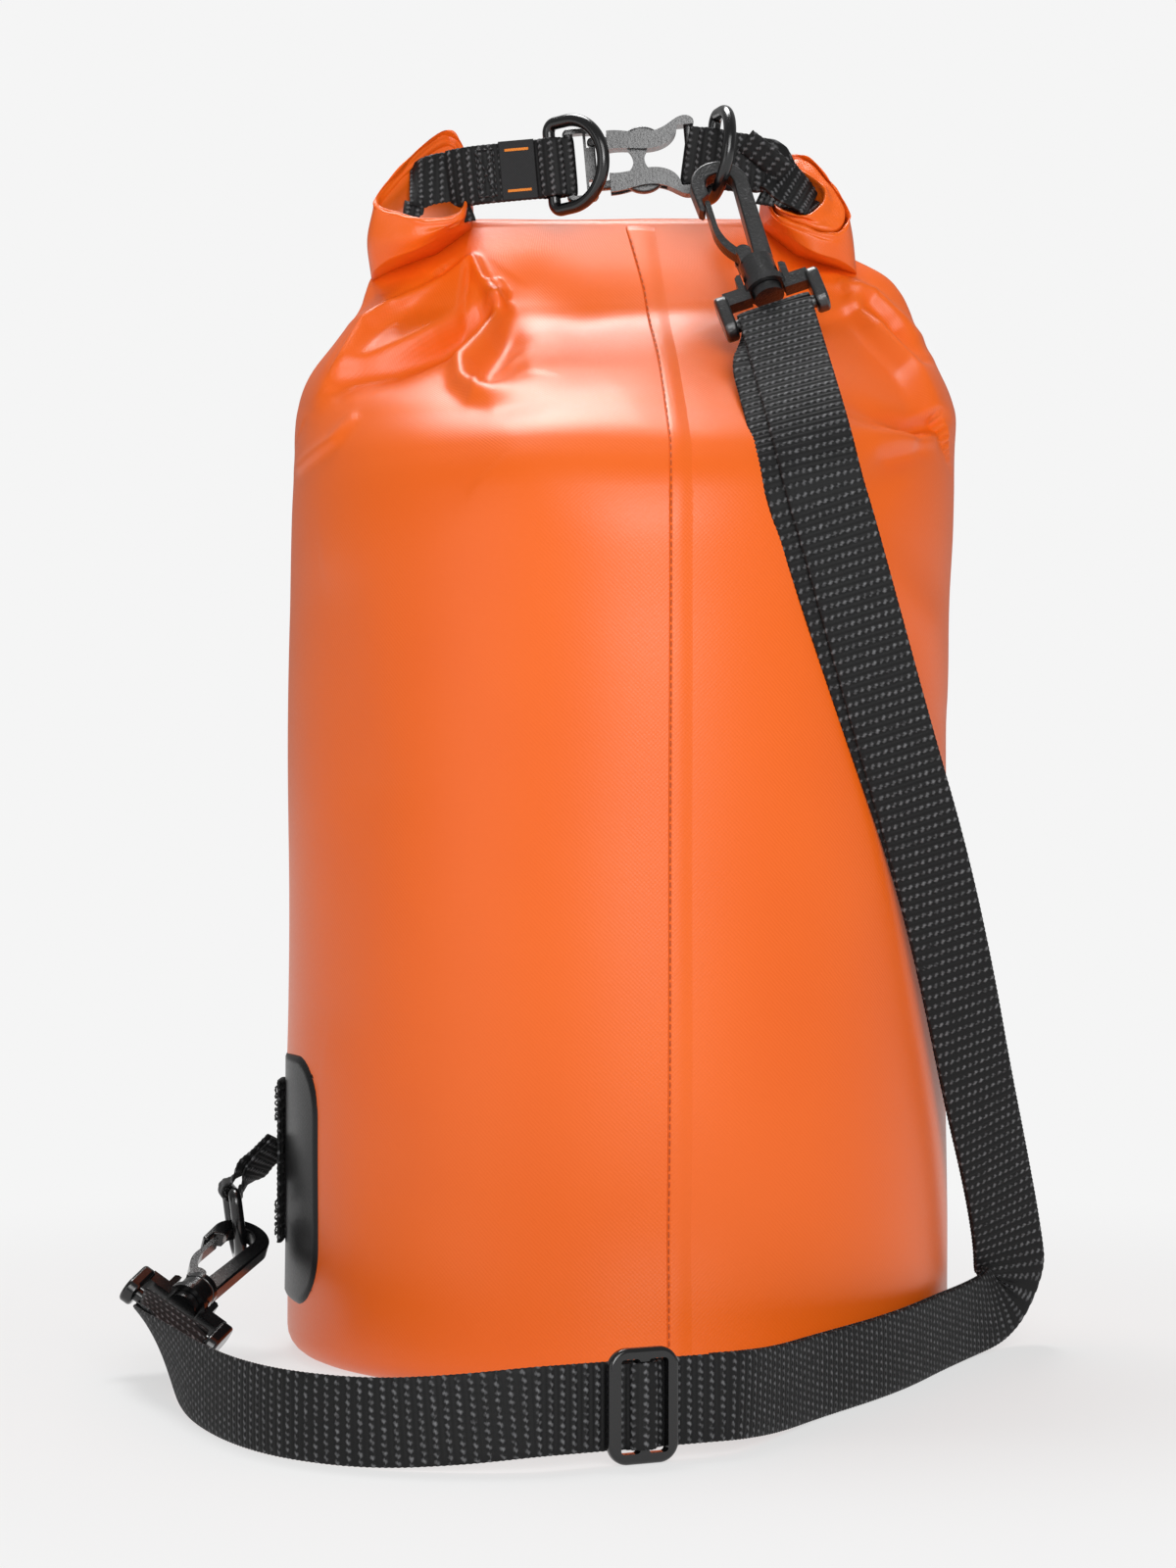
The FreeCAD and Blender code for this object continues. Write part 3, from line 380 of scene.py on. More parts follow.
FOLD_GAIN = 1.7
# lines of folds on the front, in mm: x, z, height, width on the left, width on the right
FRONT_FOLDS = [
    # down the left shoulder from under the roll
    [(-64, 366, 1.5, 3, 9), (-75, 354, 4.5, 3, 9), (-84, 345, 5.0, 3, 8), (-94, 330, 3.0, 3, 8),
     (-103, 318, 0.5, 4, 8)],
    [(-46, 352, -3.0, 4, 3), (-60, 342.5, -4.5, 6, 2.5), (-76, 334, -3.5, 7, 2.5),
     (-92, 326, -1.0, 6, 3)],
    # the small tucked corner below the roll
    [(-49.5, 373, 2.2, 2.2, 1.8), (-45, 363, 2.6, 2.2, 1.8), (-40.5, 355, 2.6, 2.5, 2)],
    # the long soft S below it
    [(-40, 354, 3.0, 3, 5), (-45.5, 341, 3.4, 4.5, 4), (-52, 332, 3.4, 5, 3.5),
     (-51, 324.5, 3.2, 5, 3.2), (-46, 319.5, 3.0, 5, 3.4), (-41, 319.5, 2.4, 5, 5),
     (-31, 324, 1.6, 8, 7), (-21, 332, 0.6, 9, 9)],
    [(-38, 343, -2.2, 7, 7), (-43, 330, -2.4, 5, 8), (-36, 328, -1.4, 6, 9)],
    # a thin crease at the left edge
    [(-106, 300, 0.8, 3, 3), (-93, 305.5, 1.3, 3, 1.6), (-88, 312.5, 0.6, 3, 2)],
    # the right shoulder
    [(62, 369, 0.8, 3, 3), (74, 366, 1.6, 3, 3), (87, 360, 2.4, 3, 3.5), (100, 346, 1.0, 4, 4)],
    [(80, 357, 1.5, 9, 3), (87.5, 346, 4.0, 11, 3.2), (97, 333, 4.6, 12, 3.2),
     (103.5, 318, 3.6, 12, 4)],
    [(85, 358, -1.0, 3, 3), (93, 346, -3.2, 3, 3.4), (100, 334, -1.6, 3, 3)],
    [(104, 313.5, -1.6, 3, 3), (97.5, 311, -3.0, 4.5, 3), (85, 312.5, -2.4, 6, 4),
     (72, 317, -0.6, 8, 6)],
    [(103, 307, 1.2, 3, 4), (96, 305.5, 2.6, 3.5, 5), (84, 306, 2.0, 5, 7), (70, 311, 0.5, 6, 8)],
    [(98, 303, -1.2, 4, 4), (88, 297, -1.6, 5, 5), (76, 285, -0.5, 7, 7)],
    # soft dents and pulls lower down
    [(-96, 250, -0.8, 14, 18), (-88, 190, -1.2, 16, 22), (-96, 120, -0.6, 16, 20)],
    [(-30, 300, 1.2, 16, 20), (-4, 322, 1.6, 20, 22), (18, 338, 0.8, 16, 18)],
    [(84, 262, 0.9, 8, 10), (102, 246, 1.0, 8, 8), (110, 226, 0.4, 8, 8)],
    [(-70, 60, -0.7, 20, 20), (-20, 44, -0.9, 22, 22), (40, 52, -0.6, 20, 20)],
    [(-28, 362, -1.2, 10, 12), (-12, 350, -1.6, 12, 14), (10, 352, -0.8, 12, 12)],
    [(44, 372, -1.4, 7, 8), (52, 356, -1.6, 8, 9), (50, 340, -0.6, 8, 9)],
]
BACK_FOLDS = [
    [(-58, 366, 1.5, 4, 6), (-78, 346, 4.0, 4, 8), (-96, 322, 2.0, 5, 8)],
    [(-44, 356, -2.6, 6, 4), (-66, 336, -3.2, 7, 4), (-86, 318, -1.0, 6, 5)],
    [(54, 368, 1.2, 5, 5), (72, 350, 3.6, 9, 4), (92, 326, 3.0, 10, 4), (102, 306, 0.6, 8, 6)],
    [(36, 352, -1.8, 8, 6), (54, 334, -2.6, 9, 5), (80, 312, -0.8, 8, 6)],
    [(-16, 344, 1.6, 12, 12), (4, 318, 1.8, 14, 14), (8, 286, 0.5, 16, 16)],
    [(-60, 240, -0.9, 20, 22), (-40, 170, -1.2, 22, 22), (-52, 90, -0.6, 20, 20)],
    [(58, 226, 0.9, 18, 18), (74, 160, 1.0, 20, 16), (60, 96, 0.4, 18, 18)],
]
# flat facets on the front: corners, height and width of the edge
FACETS = [
    ([(-51, 375), (-53, 349), (-67.6, 341), (-93, 329.5), (-83.5, 345), (-64, 363)], 3.2, 3.0),
    ([(-50, 371), (-41.5, 355.5), (-52, 347.5)], 1.8, 2.4),
    ([(-44.5, 363.5), (-40.5, 367), (-37.5, 362), (-39, 355)], 2.2, 1.4),
    ([(66, 366), (87, 360.5), (82, 355), (64, 349)], 1.6, 3.4),
]


def wrinkled(points, angle, back_too=True):
    """Moves points of the bag along its normals by its folds, and by a slow swell."""
    normal = unit(np.cross(np.gradient(points, axis=1), np.gradient(points, axis=0)))
    x, z = points[..., 0], points[..., 2]
    facing = ease(0.5 - 2.2 * np.sin(angle)) + 0 * x
    front = FOLD_GAIN * sum(fold(x, z, line) for line in FRONT_FOLDS)
    front = front + sum(facet(x, z, *parts) for parts in FACETS)
    back = sum(fold(x, z, line) for line in BACK_FOLDS) if back_too else 0
    swell = 0.5 * np.sin(angle * 3 + z / 47) * np.sin(z / 31 + 1.3) * ease((z - 12) / 40)
    out = facing * front + (1 - facing) * back + swell * ease((370 - z) / 60)
    return points + normal * out[..., None]


def bag_heights():
    """Rows of the bag's wall, closest together where the cloth is folded."""
    low = np.linspace(BOTTOM_ROUND, 285, BAG_ROWS // 3, endpoint=False)
    return np.concatenate([low, np.linspace(285, 388, BAG_ROWS - len(low))])


def bag_angles():
    """Columns round the bag, closer on the front (-90 degrees) than at the back."""
    t = np.linspace(0, 2 * np.pi, BAG_COLUMNS, endpoint=False)
    return t - 0.35 * np.sin(t + np.pi / 2)


def bag_body():
    """One closed shell: flat bottom, rounded lower edge, tube, folded crown, ridge turned over."""
    angle = bag_angles()[None, :]
    wall = wrinkled(bag_shell(angle, bag_heights()[:, None]), angle)
    foot = wall[0]
    rounds = []
    for inset, lift in ((60.0, 0.0), (30.0, 0.0), (12.0, 0.0), (9.0, 0.0)):
        shrink = 1 - inset / BAG_RADIUS
        rounds.append(np.stack([foot[:, 0] * shrink, foot[:, 1] * shrink,
                                foot[:, 2] * 0 + lift], -1))
    for turn in np.radians(np.arange(15, 90, 15)):
        shrink = 1 - BOTTOM_ROUND * (1 - math.sin(turn)) / BAG_RADIUS
        lift = BOTTOM_ROUND * (1 - math.cos(turn))
        rounds.append(np.stack([foot[:, 0] * shrink, foot[:, 1] * shrink,
                                foot[:, 2] * 0 + lift], -1))
    ridge = wall[-1]
    middle = ridge.mean(axis=0)
    over = [middle + (ridge - middle) * (w, d, 1) + (0, 0, up)
            for w, d, up in ((0.99, 0.8, 1.4), (0.97, 0.45, 2.2), (0.95, 0.1, 2.4))]
    grid = np.stack(rounds + list(wall) + over) * MM
    thing = surface("bag_cloth", grid, tarpaulin, ring=True, caps=True,
                    across=np.append(angle[0], angle[0, 0] + 2 * np.pi) * BAG_RADIUS * MM)
    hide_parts("bag_body", "base_disc")
    return thing


bag_body()


# ---------------------------------------------------------------- the weld down the front
def weld_edges(height):
    """Where the overlapped weld's two edges lie at each height, in mm."""
    left = np.interp(height, [12, 300, 330, 362, 375, 388], [14.5, 15.4, 12.8, 8.6, 5.6, 2.5])
    right = np.interp(height, [12, 300, 345, 375, 388], [24.0, 24.3, 19.5, 16.5, 15.0])
    return left, right


def bag_skin(x, height, out):
    """Points over the wrinkled front of the bag at x, each raised by out, in mm."""
    left, right, deep, lean = sections_at(height)
    middle, half = (right - left) / 2, (right + left) / 2
    angle = -np.arccos(np.clip((x - middle) / half, -1, 1))
    points = np.stack([x, lean + deep * np.sin(angle), height], -1)
    raised = wrinkled(points, angle, back_too=False)
    normal = unit(np.cross(np.gradient(points, axis=1), np.gradient(points, axis=0)))
    return raised + normal * np.asarray(out)[..., None]


def weld_strip():
    """The overlap as a thin step: raised 0.6 mm at its left edge, sinking in towards its right."""
    height = np.linspace(12, 387, 190)[:, None]
    across = np.linspace(0, 1, 14)[None, :]
    left, right = weld_edges(height)
    x = left + (right - left) * across + 0 * height
    step = 0.7 * ease(across * 9) * (1 - ease((across - 0.3) / 0.7)) - 0.1
    thing = thicken(
        surface("back_weld", bag_skin(x, height + 0 * x, step + 0 * x) * MM, tarpaulin), 0.4 * MM)
    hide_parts("back_seam")
    return thing


def stitch_row(name, starts, ends, normals, material, body="bag", radius=0.28, slack=0.15):
    """Stitches as short round rods, each from its start to its end, lifted in the middle. A rod
    is rings of six points on a half sine, closed at both ends."""
    starts, ends, normals = (np.asarray(v, float) for v in (starts, ends, normals))
    way = unit(ends - starts)
    side = unit(np.cross(way, normals))
    up = np.cross(side, way)
    t = np.array([0, 0.12, 0.5, 0.88, 1.0])
    thin = np.array([0.45, 0.9, 1.0, 0.9, 0.45]) * radius
    turn = np.arange(6) * np.pi / 3
    spine = starts[:, None] + (ends - starts)[:, None] * t[None, :, None]
    spine = spine + normals[:, None] * (np.sin(np.pi * t) * slack)[None, :, None]
    ring = (np.cos(turn)[None, None, :, None] * side[:, None, None]
            + np.sin(turn)[None, None, :, None] * up[:, None, None])
    points = spine[:, :, None] + ring * thin[None, :, None, None]
    count = len(starts)
    base = np.arange(count)[:, None] * 30
    k, j = np.meshgrid(np.arange(4), np.arange(6), indexing="ij")
    quad = np.stack([k * 6 + j, (k + 1) * 6 + j, (k + 1) * 6 + (j + 1) % 6, k * 6 + (j + 1) % 6], -1)
    faces = (base[:, :, None] + quad.reshape(1, -1, 4)).reshape(-1, 4).tolist()
    for b in base[:, 0].tolist():
        faces += [[b + n for n in range(6)], [b + 24 + n for n in range(6)][::-1]]
    mesh = bpy.data.meshes.new(name)
    mesh.from_pydata((points.reshape(-1, 3) * MM).tolist(), [], faces)
    mesh.polygons.foreach_set("use_smooth", np.ones(len(faces), bool))
    mesh.materials.append(material)
    return place(bpy.data.objects.new(name, mesh), body)


def weld_stitches():
    """A line of stitches just inside the weld's left edge, every 2.6 mm."""
    height = np.arange(16, 384, 2.6)[:, None]
    left, _ = weld_edges(height)
    x = np.concatenate([left + 0.7, left + 1.2], 1)
    low = bag_skin(x, height + 0 * x, 0 * x + 0.45)
    normal = unit(np.cross(low[:, 1] - low[:, 0], np.gradient(low[:, 0], axis=0)))
    starts, ends = low[:-1, 0], low[:-1, 0] + (low[1:, 0] - low[:-1, 0]) * 0.72
    return stitch_row("weld_stitches", starts, ends, normal[:-1], thread_orange, radius=0.22)


weld_strip()
weld_stitches()


# ---------------------------------------------------------------- the rolled mouth
def rolled_mouth():
    """The mouth rolled over on itself: a flattened spiral carried along x, its last layer
    coming up over the ridge from the bag."""
    path = np.array([
        (15, 387.5), (18.5, 391.0), (26, 392.2), (33, 391.2), (37.6, 387.5), (38.2, 378),
        (37.8, 369), (34.5, 364.6), (29, 363.8), (25.2, 366.5), (24.6, 376), (25.2, 385),
        (28.5, 388.8), (33, 388.2), (35.6, 384.5), (35.8, 372), (33.5, 367.8), (29.8, 367.6),
        (27.6, 371), (27.4, 381), (29.6, 385.2),
    ])
    profile, _ = evened(curve(path, 240), 1.1)
    x = np.linspace(-53, 53, 54)
    sway = 0.5 * np.sin(x / 13.0) * np.cos(x / 29.0)
    points = np.empty((len(profile), len(x), 3))
    points[..., 0] = x
    points[..., 1] = profile[:, :1] + sway * 0.7
    points[..., 2] = profile[:, 1:] + sway * np.linspace(0.6, 1, len(profile))[:, None]
    thing = thicken(surface("mouth_roll", points * MM, tarpaulin), 0.9 * MM, 0)
    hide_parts("rolled_mouth")
    return thing


rolled_mouth()


# ---------------------------------------------------------------- the bent ends of the roll
def skin(name, loops, material, around=150, along=70, wrinkle=0.0):
    """A surface through closed loops of points, smooth both round the loops and from loop to
    loop, with slight pulls running from loop to loop."""
    rings = np.stack([curve(loop, around, closed=True) for loop in loops])
    grid = curve(rings, along)
    turn = np.linspace(0, 2 * np.pi, around, endpoint=False)
    normal = unit(np.cross(np.gradient(grid, axis=1), np.gradient(grid, axis=0)))
    pull = np.sin(turn * 5 + 1.7) * 0.6 + np.sin(turn * 11 + 0.4) * 0.4
    fade = np.sin(np.linspace(0, np.pi, along)) ** 2
    grid = grid + normal * (wrinkle * pull[None, :] * fade[:, None])[..., None]
    thing = surface(name, grid * MM, material, ring=True, caps=True)
    return thing


def inwards(loop, share, shift=(0, 0, 0)):
    """A loop shrunk about its middle by a share of its size, and shifted."""
    p = np.asarray(loop, float)
    middle = p.mean(axis=0)
    return middle + (p - middle) * (1 - share) + shift


# each loop runs: outer corner, two points of the lip, inner corner, side, top, tip, back edge
LEFT_FOOT = [(-85, 2, 368), (-79, -10, 372), (-67, -15, 376), (-54, -9, 384), (-51, 10, 387),
             (-51, 31, 380), (-66, 36, 371), (-80, 26, 367)]
LEFT_BAND = [(-86, -5, 380), (-78, -15, 378.5), (-66, -18, 379.5), (-54, -15, 386), (-51, 4, 397),
             (-52, 27, 399), (-64, 33, 395), (-79, 18, 387)]
LEFT_RIM = [(-83.5, -11, 391.8), (-74.5, -17, 386.4), (-64.5, -18, 384.2), (-53, -14.5, 387.5),
            (-51.5, 0, 401), (-53.5, 10, 415.4), (-60.5, 10, 420.2), (-74.5, -1, 406.5)]
RIGHT_FOOT = [(83, 2, 369), (77, -10, 372), (66, -15, 375), (54, -8, 384), (51, 10, 387),
              (51, 31, 380), (66, 36, 372), (79, 26, 368)]
RIGHT_BAND = [(81.5, -3, 381), (76, -13, 377), (65, -16, 380), (54, -13, 386), (51, 4, 397),
              (52, 26, 399), (64, 30, 397), (77, 16, 388)]
RIGHT_RIM = [(80, -9, 388), (75.5, -14, 380.6), (64, -16, 382.6), (54, -12, 388),
             (52, 2, 400), (56, 9, 410.2), (66, 8, 411.4), (75, -1, 399.5)]
RIGHT_INNER_RIM = [(71.5, -10, 393), (66, -15, 387), (59, -15.5, 387.4), (54, -11, 391),
                   (53.5, 0, 399), (56.5, 1, 406.5), (63, 0, 405.8), (71, -6, 399)]


def left_roll_end():
    """The left end: one band of cloth round a pocket, its double edge rolled at the rim."""
    rim = np.asarray(LEFT_RIM)
    inner = inwards(rim, 0.085, (0, 1.0, -0.6))
    loops = [LEFT_FOOT, LEFT_BAND, inwards(rim, 0.0, (0, 0.2, -1.6)), rim,
             inwards(rim, 0.045, (0, 0.4, 0.5)), inner, inwards(rim, 0.11, (0, 3.0, -4.0)),
             inwards(LEFT_BAND, 0.22, (0, 3.0, 1.5)), inwards(LEFT_FOOT, 0.72, (0, 0, 8.0))]
    thing = skin("roll_end_left_cloth", loops, tarpaulin, wrinkle=0.45)
    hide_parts("roll_end_left")
    lip = skin("roll_end_left_turned_edge",
               [inwards(rim, 0.05, (0, 0.9, -3.6)), inwards(rim, 0.03, (0, 0.6, 0.0)),
                inwards(rim, 0.055, (0, 0.7, 0.8)), inwards(rim, 0.09, (0, 1.3, -0.2)),
                inwards(rim, 0.115, (0, 3.0, -3.6))], tarpaulin, along=26)
    return thing, lip


def right_roll_end():
    """The right end: an outer band, and the next layer of the roll standing inside it."""
    rim = np.asarray(RIGHT_RIM)
    loops = [RIGHT_FOOT, RIGHT_BAND, inwards(rim, 0.0, (0, 0.3, -1.4)), rim,
             inwards(rim, 0.045, (0, 0.4, 0.3)), inwards(rim, 0.09, (0, 1.4, -1.2)),
             inwards(rim, 0.13, (0, 4.0, -3.5)), inwards(RIGHT_FOOT, 0.6, (0, 2, 8.0))]
    thing = skin("roll_end_right_cloth", loops, tarpaulin, wrinkle=0.45)
    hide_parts("roll_end_right")
    mouth = np.asarray(RIGHT_INNER_RIM)
    inner = [inwards(rim, 0.16, (0, 4.0, -3.0)), inwards(rim, 0.115, (0, 0.6, -0.4)),
             inwards(rim, 0.15, (0, -0.6, 0.6)), (inwards(rim, 0.22) + mouth) / 2, mouth,
             inwards(mouth, 0.09, (0, 0.8, 0.0)), inwards(mouth, 0.16, (0, 4.0, -1.5)),
             inwards(mouth, 0.5, (0, 9.0, -4.0))]
    layer = skin("roll_end_right_inner_layer", inner, tarpaulin, wrinkle=0.3)
    return thing, layer


left_roll_end()
right_roll_end()


# ---------------------------------------------------------------- webbing
def ribbon(name, centres, across, width, thick, body="bag", ribs=True,
           material=None):
    """A band carried along a line: its section is a rounded bar, and ribs swell its faces by a
    sine along it. centres and across are points and width directions, all in mm."""
    rows = np.concatenate([np.asarray(centres, float), np.asarray(across, float)], 1)
    rows, run = evened(rows, 0.4)
    middle, wide = rows[:, :3], unit(rows[:, 3:])
    way = unit(np.gradient(middle, axis=0))
    wide = unit(wide - way * np.sum(wide * way, 1, keepdims=True))
    face = np.cross(way, wide)
    turn = np.linspace(0, 2 * np.pi, 20, endpoint=False) + np.pi / 20
    flat = np.sign(np.cos(turn)) * np.abs(np.cos(turn)) ** 0.45
    high = np.sign(np.sin(turn)) * np.abs(np.sin(turn)) ** 0.6
    swell = 0.13 * np.cos(2 * np.pi * run / RIB) if ribs else 0 * run
    half = thick / 2 + swell[:, None] - 0.13
    half_width = width / 2 + swell[:, None] * 0.5
    points = (middle[:, None] + wide[:, None] * (flat * half_width)[..., None]
              + face[:, None] * (high * half)[..., None])
    around = np.append(flat, flat[0] + 1e-6) * width / 2
    thing = surface(name, points * MM, material or webbing_black, body, ring=True, caps=True,
                    across=around * MM, along=run * MM)
    return thing


# the closure's line: from the pocket of the left end through the buckle to the right end
closure_way = np.array((math.cos(math.radians(5)), 0, math.sin(math.radians(5))))
closure_up = np.array((-closure_way[2], 0, closure_way[0]))
closure_middle = np.array((12.4, -10.0, 407.2))
FORWARD = np.array((0.0, -1.0, 0.0))
WEB, WEB_THICK = 20.0, 1.6


def on_closure(along, out=0.0, up=0.0):
    """A point by its distance along the buckle's line, out towards the front, and up."""
    return closure_middle + closure_way * along + FORWARD * out + closure_up * up


def closure_left():
    """Doubled webbing from the male bar round the ring to the pocket, where it bends back."""
    front = [(-27.2, 0.3), (-28.6, 2.0), (-30.4, 1.9), (-32.6, 3.2), (-35.0, 3.6), (-37.6, 2.6),
             (-41, 1.0), (-50, 0.85), (-60, 0.2), (-66, -1.8), (-70.5, -4.6)]
    back = [(-27.2, -0.3), (-28.6, -2.0), (-30.4, -1.9), (-32.6, -3.2), (-35.0, -3.6),
            (-37.6, -2.6), (-41, -1.0), (-50, -0.95), (-60, -1.6), (-66, -3.7), (-70.5, -6.6)]
    made = []
    for name, line in (("closure_webbing_front", front), ("closure_webbing_behind", back)):
        points = curve([on_closure(a, o) for a, o in line], 160)
        across = curve([closure_up - closure_way * s for s in np.linspace(0, 0.10, 11)], 160)
        made.append(ribbon(name, points, across, WEB, WEB_THICK, "buckle_male"))
    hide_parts("closure_webbing_left")
    return made


def pocket_webbing():
    """The webbing sewn inside the left end: it fans down and back into the pocket."""
    line = [(-55, -4.2, 400.5), (-61, -4.0, 400.5), (-67, -3.5, 400.2), (-71.3, -3.0, 399.6)]
    tilt = [(0.12, 0.0, 1), (0.22, 0.12, 0.95), (0.36, 0.32, 0.85), (0.5, 0.52, 0.72)]
    ribbon("pocket_webbing_left", curve(line, 60), curve(tilt, 60), 21, WEB_THICK)
    low = [(-50, -4.0, 390.5), (-58, -6.5, 388.5), (-66, -9.0, 388.0), (-73, -11.5, 390.0)]
    lean = [(0, 0.5, 1), (0, 0.7, 1), (0.2, 0.8, 1), (0.4, 0.9, 1)]
    ribbon("pocket_webbing_left_lower", curve(low, 60), curve(lean, 60), 8, WEB_THICK)
    right = [(50, -4.5, 398.0), (57, -5.0, 395.0), (63, -6.0, 392.5), (68, -7.5, 391.0)]
    turn = [(0.0, 0.5, 1), (0.1, 0.9, 0.8), (0.2, 1.0, 0.6), (0.2, 1.0, 0.5)]
    ribbon("pocket_webbing_right", curve(right, 60), curve(turn, 60), 14, WEB_THICK)


def closure_right():
    """Doubled webbing from the female bar round the upper ring to the right end."""
    way = np.array((math.cos(math.radians(7.5)), 0, -math.sin(math.radians(7.5))))
    up = np.array((-way[2], 0, way[0]))
    start = on_closure(12.8)
    for name, side in (("front", 1), ("behind", -1)):
        line = [(-1.9, 0.3), (-0.3, 2.0), (2.0, 2.0), (4.2, 3.2), (6.8, 3.6), (9.4, 2.7), (13, 1.0),
                (18, 0.9), (23, 0.85), (28, 0.8)]
        points = [start + way * a + FORWARD * o * side for a, o in line]
        points += [np.array((x, y - 0.8 * side, height)) for x, y, height in
                   ((57.5, -8.6, 400.0), (62.5, -7.6, 396.2), (67.0, -6.6, 392.6))]
        lean = [up] * 8 + [up + (0, 0.2, 0), up + (0.1, 0.35, 0), up + (0.2, 0.7, 0),
                           up + (0.2, 1.0, 0), up + (0.2, 1.3, 0)]
        ribbon(f"closure_webbing_right_{name}", curve(points, 150),
                             curve(lean, 150), WEB, WEB_THICK)
    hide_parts("closure_webbing_right")
    tail = [start + way * a + FORWARD * o + up * u
            for a, o, u in ((33, 3.4, -2.5), (28, 3.8, 0.8), (23, 3.8, 4.2), (18, 3.4, 7.2))]
    slanted = [up + way * s + FORWARD * 0.5 for s in (0.7, 0.8, 0.9, 0.9)]
    thing = ribbon("webbing_tail_folded", curve(tail, 60), curve(slanted, 60), 8.5, 2.2)
    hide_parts("webbing_tail")


def box_stitching(name, corners, normal, body, material, pitch=2.3):
    """A sewn box with a cross in it: stitches along its sides and diagonals."""
    corners = [np.asarray(c, float) for c in corners]
    sides = list(zip(corners, corners[1:] + corners[:1]))
    sides += [(corners[0], corners[2]), (corners[1], corners[3])]
    starts, ends = [], []
    for a, b in sides:
        count = max(1, round(np.linalg.norm(b - a) / pitch))
        t = np.arange(count)[:, None] / count
        starts.append(a + (b - a) * t)
        ends.append(a + (b - a) * (t + 0.74 / count))
    starts, ends = np.concatenate(starts), np.concatenate(ends)
    return stitch_row(name, starts, ends, np.tile(normal, (len(starts), 1)), material, body,
                      radius=0.32, slack=0.3)


def woven_label():
    """A folded tape label: plain, with a narrow line near each end."""
    centre = [on_closure(a, 2.35) for a in (-52.6, -46, -40.4)]
    thing = ribbon("tape_label", curve(centre, 30), np.tile(closure_up, (30, 1)), WEB + 0.5, 0.7,
                   "buckle_male", ribs=False, material=label_weave)
    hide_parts("woven_label")
    for n, up in enumerate((7.0, -7.0)):
        line = [on_closure(a, 2.72, up) for a in (-50.6, -42.4)]
        ribbon(f"tape_label_line{n}", curve(line, 20), np.tile(closure_up, (20, 1)), 0.9, 0.24,
               "buckle_male", ribs=False, material=mark_weave)


closure_left()
pocket_webbing()
closure_right()
woven_label()
box_stitching("closure_box_stitching",
              [on_closure(a, 1.75, u) for a, u in ((-60.5, -8), (-54.5, -8), (-54.5, 8), (-60.5, 8))],
              FORWARD, "buckle_male", thread_black)

# ---------------------------------------------------------------- shoulder strap
STRAP, STRAP_THICK, LAYER_GAP = 25.0, 1.6, 0.3
upper_bar = np.array((52.071, -53.213, 347.652))
lower_bar = np.array((-145.449, -68.025, 18.576))
upper_bar_way = np.array((0.949, 0.003, 0.315))
lower_bar_way = np.array((0.818, -0.105, -0.566))
SLIDER = np.array((4.0, -223.0, 16.4))
slider_way = unit(np.array((-0.899, -0.438, 0.0)))
FLOOR = STRAP / 2 + 0.3           # height of the strap's middle where it stands on its edge
DOWN = (0, 0, -1)
LOOP = 3.25                       # from a crossbar's axis to the middle of its webbing
upper_out = np.array((-0.195, -0.779, 0.596))
lower_out = np.array((-0.563, 0.057, -0.824))
# middle of the outer layer and the way of its width, from the upper crossbar to the lower one
ROUTE = [
    (upper_bar + upper_out * LOOP, upper_bar_way),
    ((55.5, -74.5, 329.5), (0.95, 0, 0.31)),
    ((58.5, -91.5, 313.5), (0.95, 0, 0.31)),
    ((61.5, -102.5, 299), (0.955, 0, 0.29)),
    ((64.5, -106, 285), (0.96, 0, 0.28)),
    ((68.5, -103.5, 273), (0.96, 0, 0.28)),
    ((77.5, -98, 242), (0.965, 0, 0.26)),
    ((88.7, -88.5, 204.5), (0.965, 0, 0.26)),
    ((100.8, -75.5, 167), (0.965, 0, 0.26)),
    ((111.2, -60, 128), (0.95, 0.15, 0.26)),
    ((119.5, -43, 93), (0.93, 0.28, 0.2)),
    ((128.7, -22, 60), (0.86, 0.45, 0.05)),
    ((134, -7, 37), (0.75, 0.5, -0.3)),
    ((135.5, 0, 22), (0.55, 0.3, -0.75)),
    ((130, -8, 14.5), (0.2, 0.05, -0.97)),
    ((119, -28, FLOOR), DOWN),
    ((105, -60, FLOOR), DOWN),
    ((93, -90, FLOOR), DOWN),
    ((79, -118, FLOOR), DOWN),
    ((60, -150, FLOOR), DOWN),
    ((46, -183, 14), DOWN),
    (SLIDER - slider_way * 33, DOWN),
    (SLIDER - slider_way * 24, DOWN),
    (SLIDER, DOWN),
    (SLIDER + slider_way * 24, DOWN),
    (SLIDER + slider_way * 33, DOWN),
    ((-46, -239, 14.5), DOWN),
    ((-70, -235, FLOOR), DOWN),
    ((-94, -221, FLOOR), DOWN),
    ((-112, -197, FLOOR), DOWN),
    ((-127, -162, FLOOR), DOWN),
    ((-138, -126, 13), (0.15, 0, -0.98)),
    ((-146.5, -97.7, 15.2), (0.5, -0.09, -0.84)),
    (lower_bar + lower_out * LOOP, lower_bar_way),
]


def spline_points(name, controls):
    """Points of a NURBS spline through its end controls, as Blender evaluates it."""
    data = bpy.data.curves.new(name, "CURVE")
    data.dimensions, data.resolution_u = "3D", 24
    spline = data.splines.new("NURBS")
    spline.points.add(len(controls) - 1)
    spline.points.foreach_set("co", np.c_[controls, np.ones(len(controls))].ravel())
    spline.order_u = 3
    spline.use_endpoint_u = True
    line = bpy.data.objects.new(name, data)
    mesh = bpy.data.meshes.new_from_object(line)
    points = np.empty(len(mesh.vertices) * 3)
    mesh.vertices.foreach_get("co", points)
    bpy.data.objects.remove(line)
    bpy.data.curves.remove(data)
    bpy.data.meshes.remove(mesh)
    return points.reshape(-1, 3)


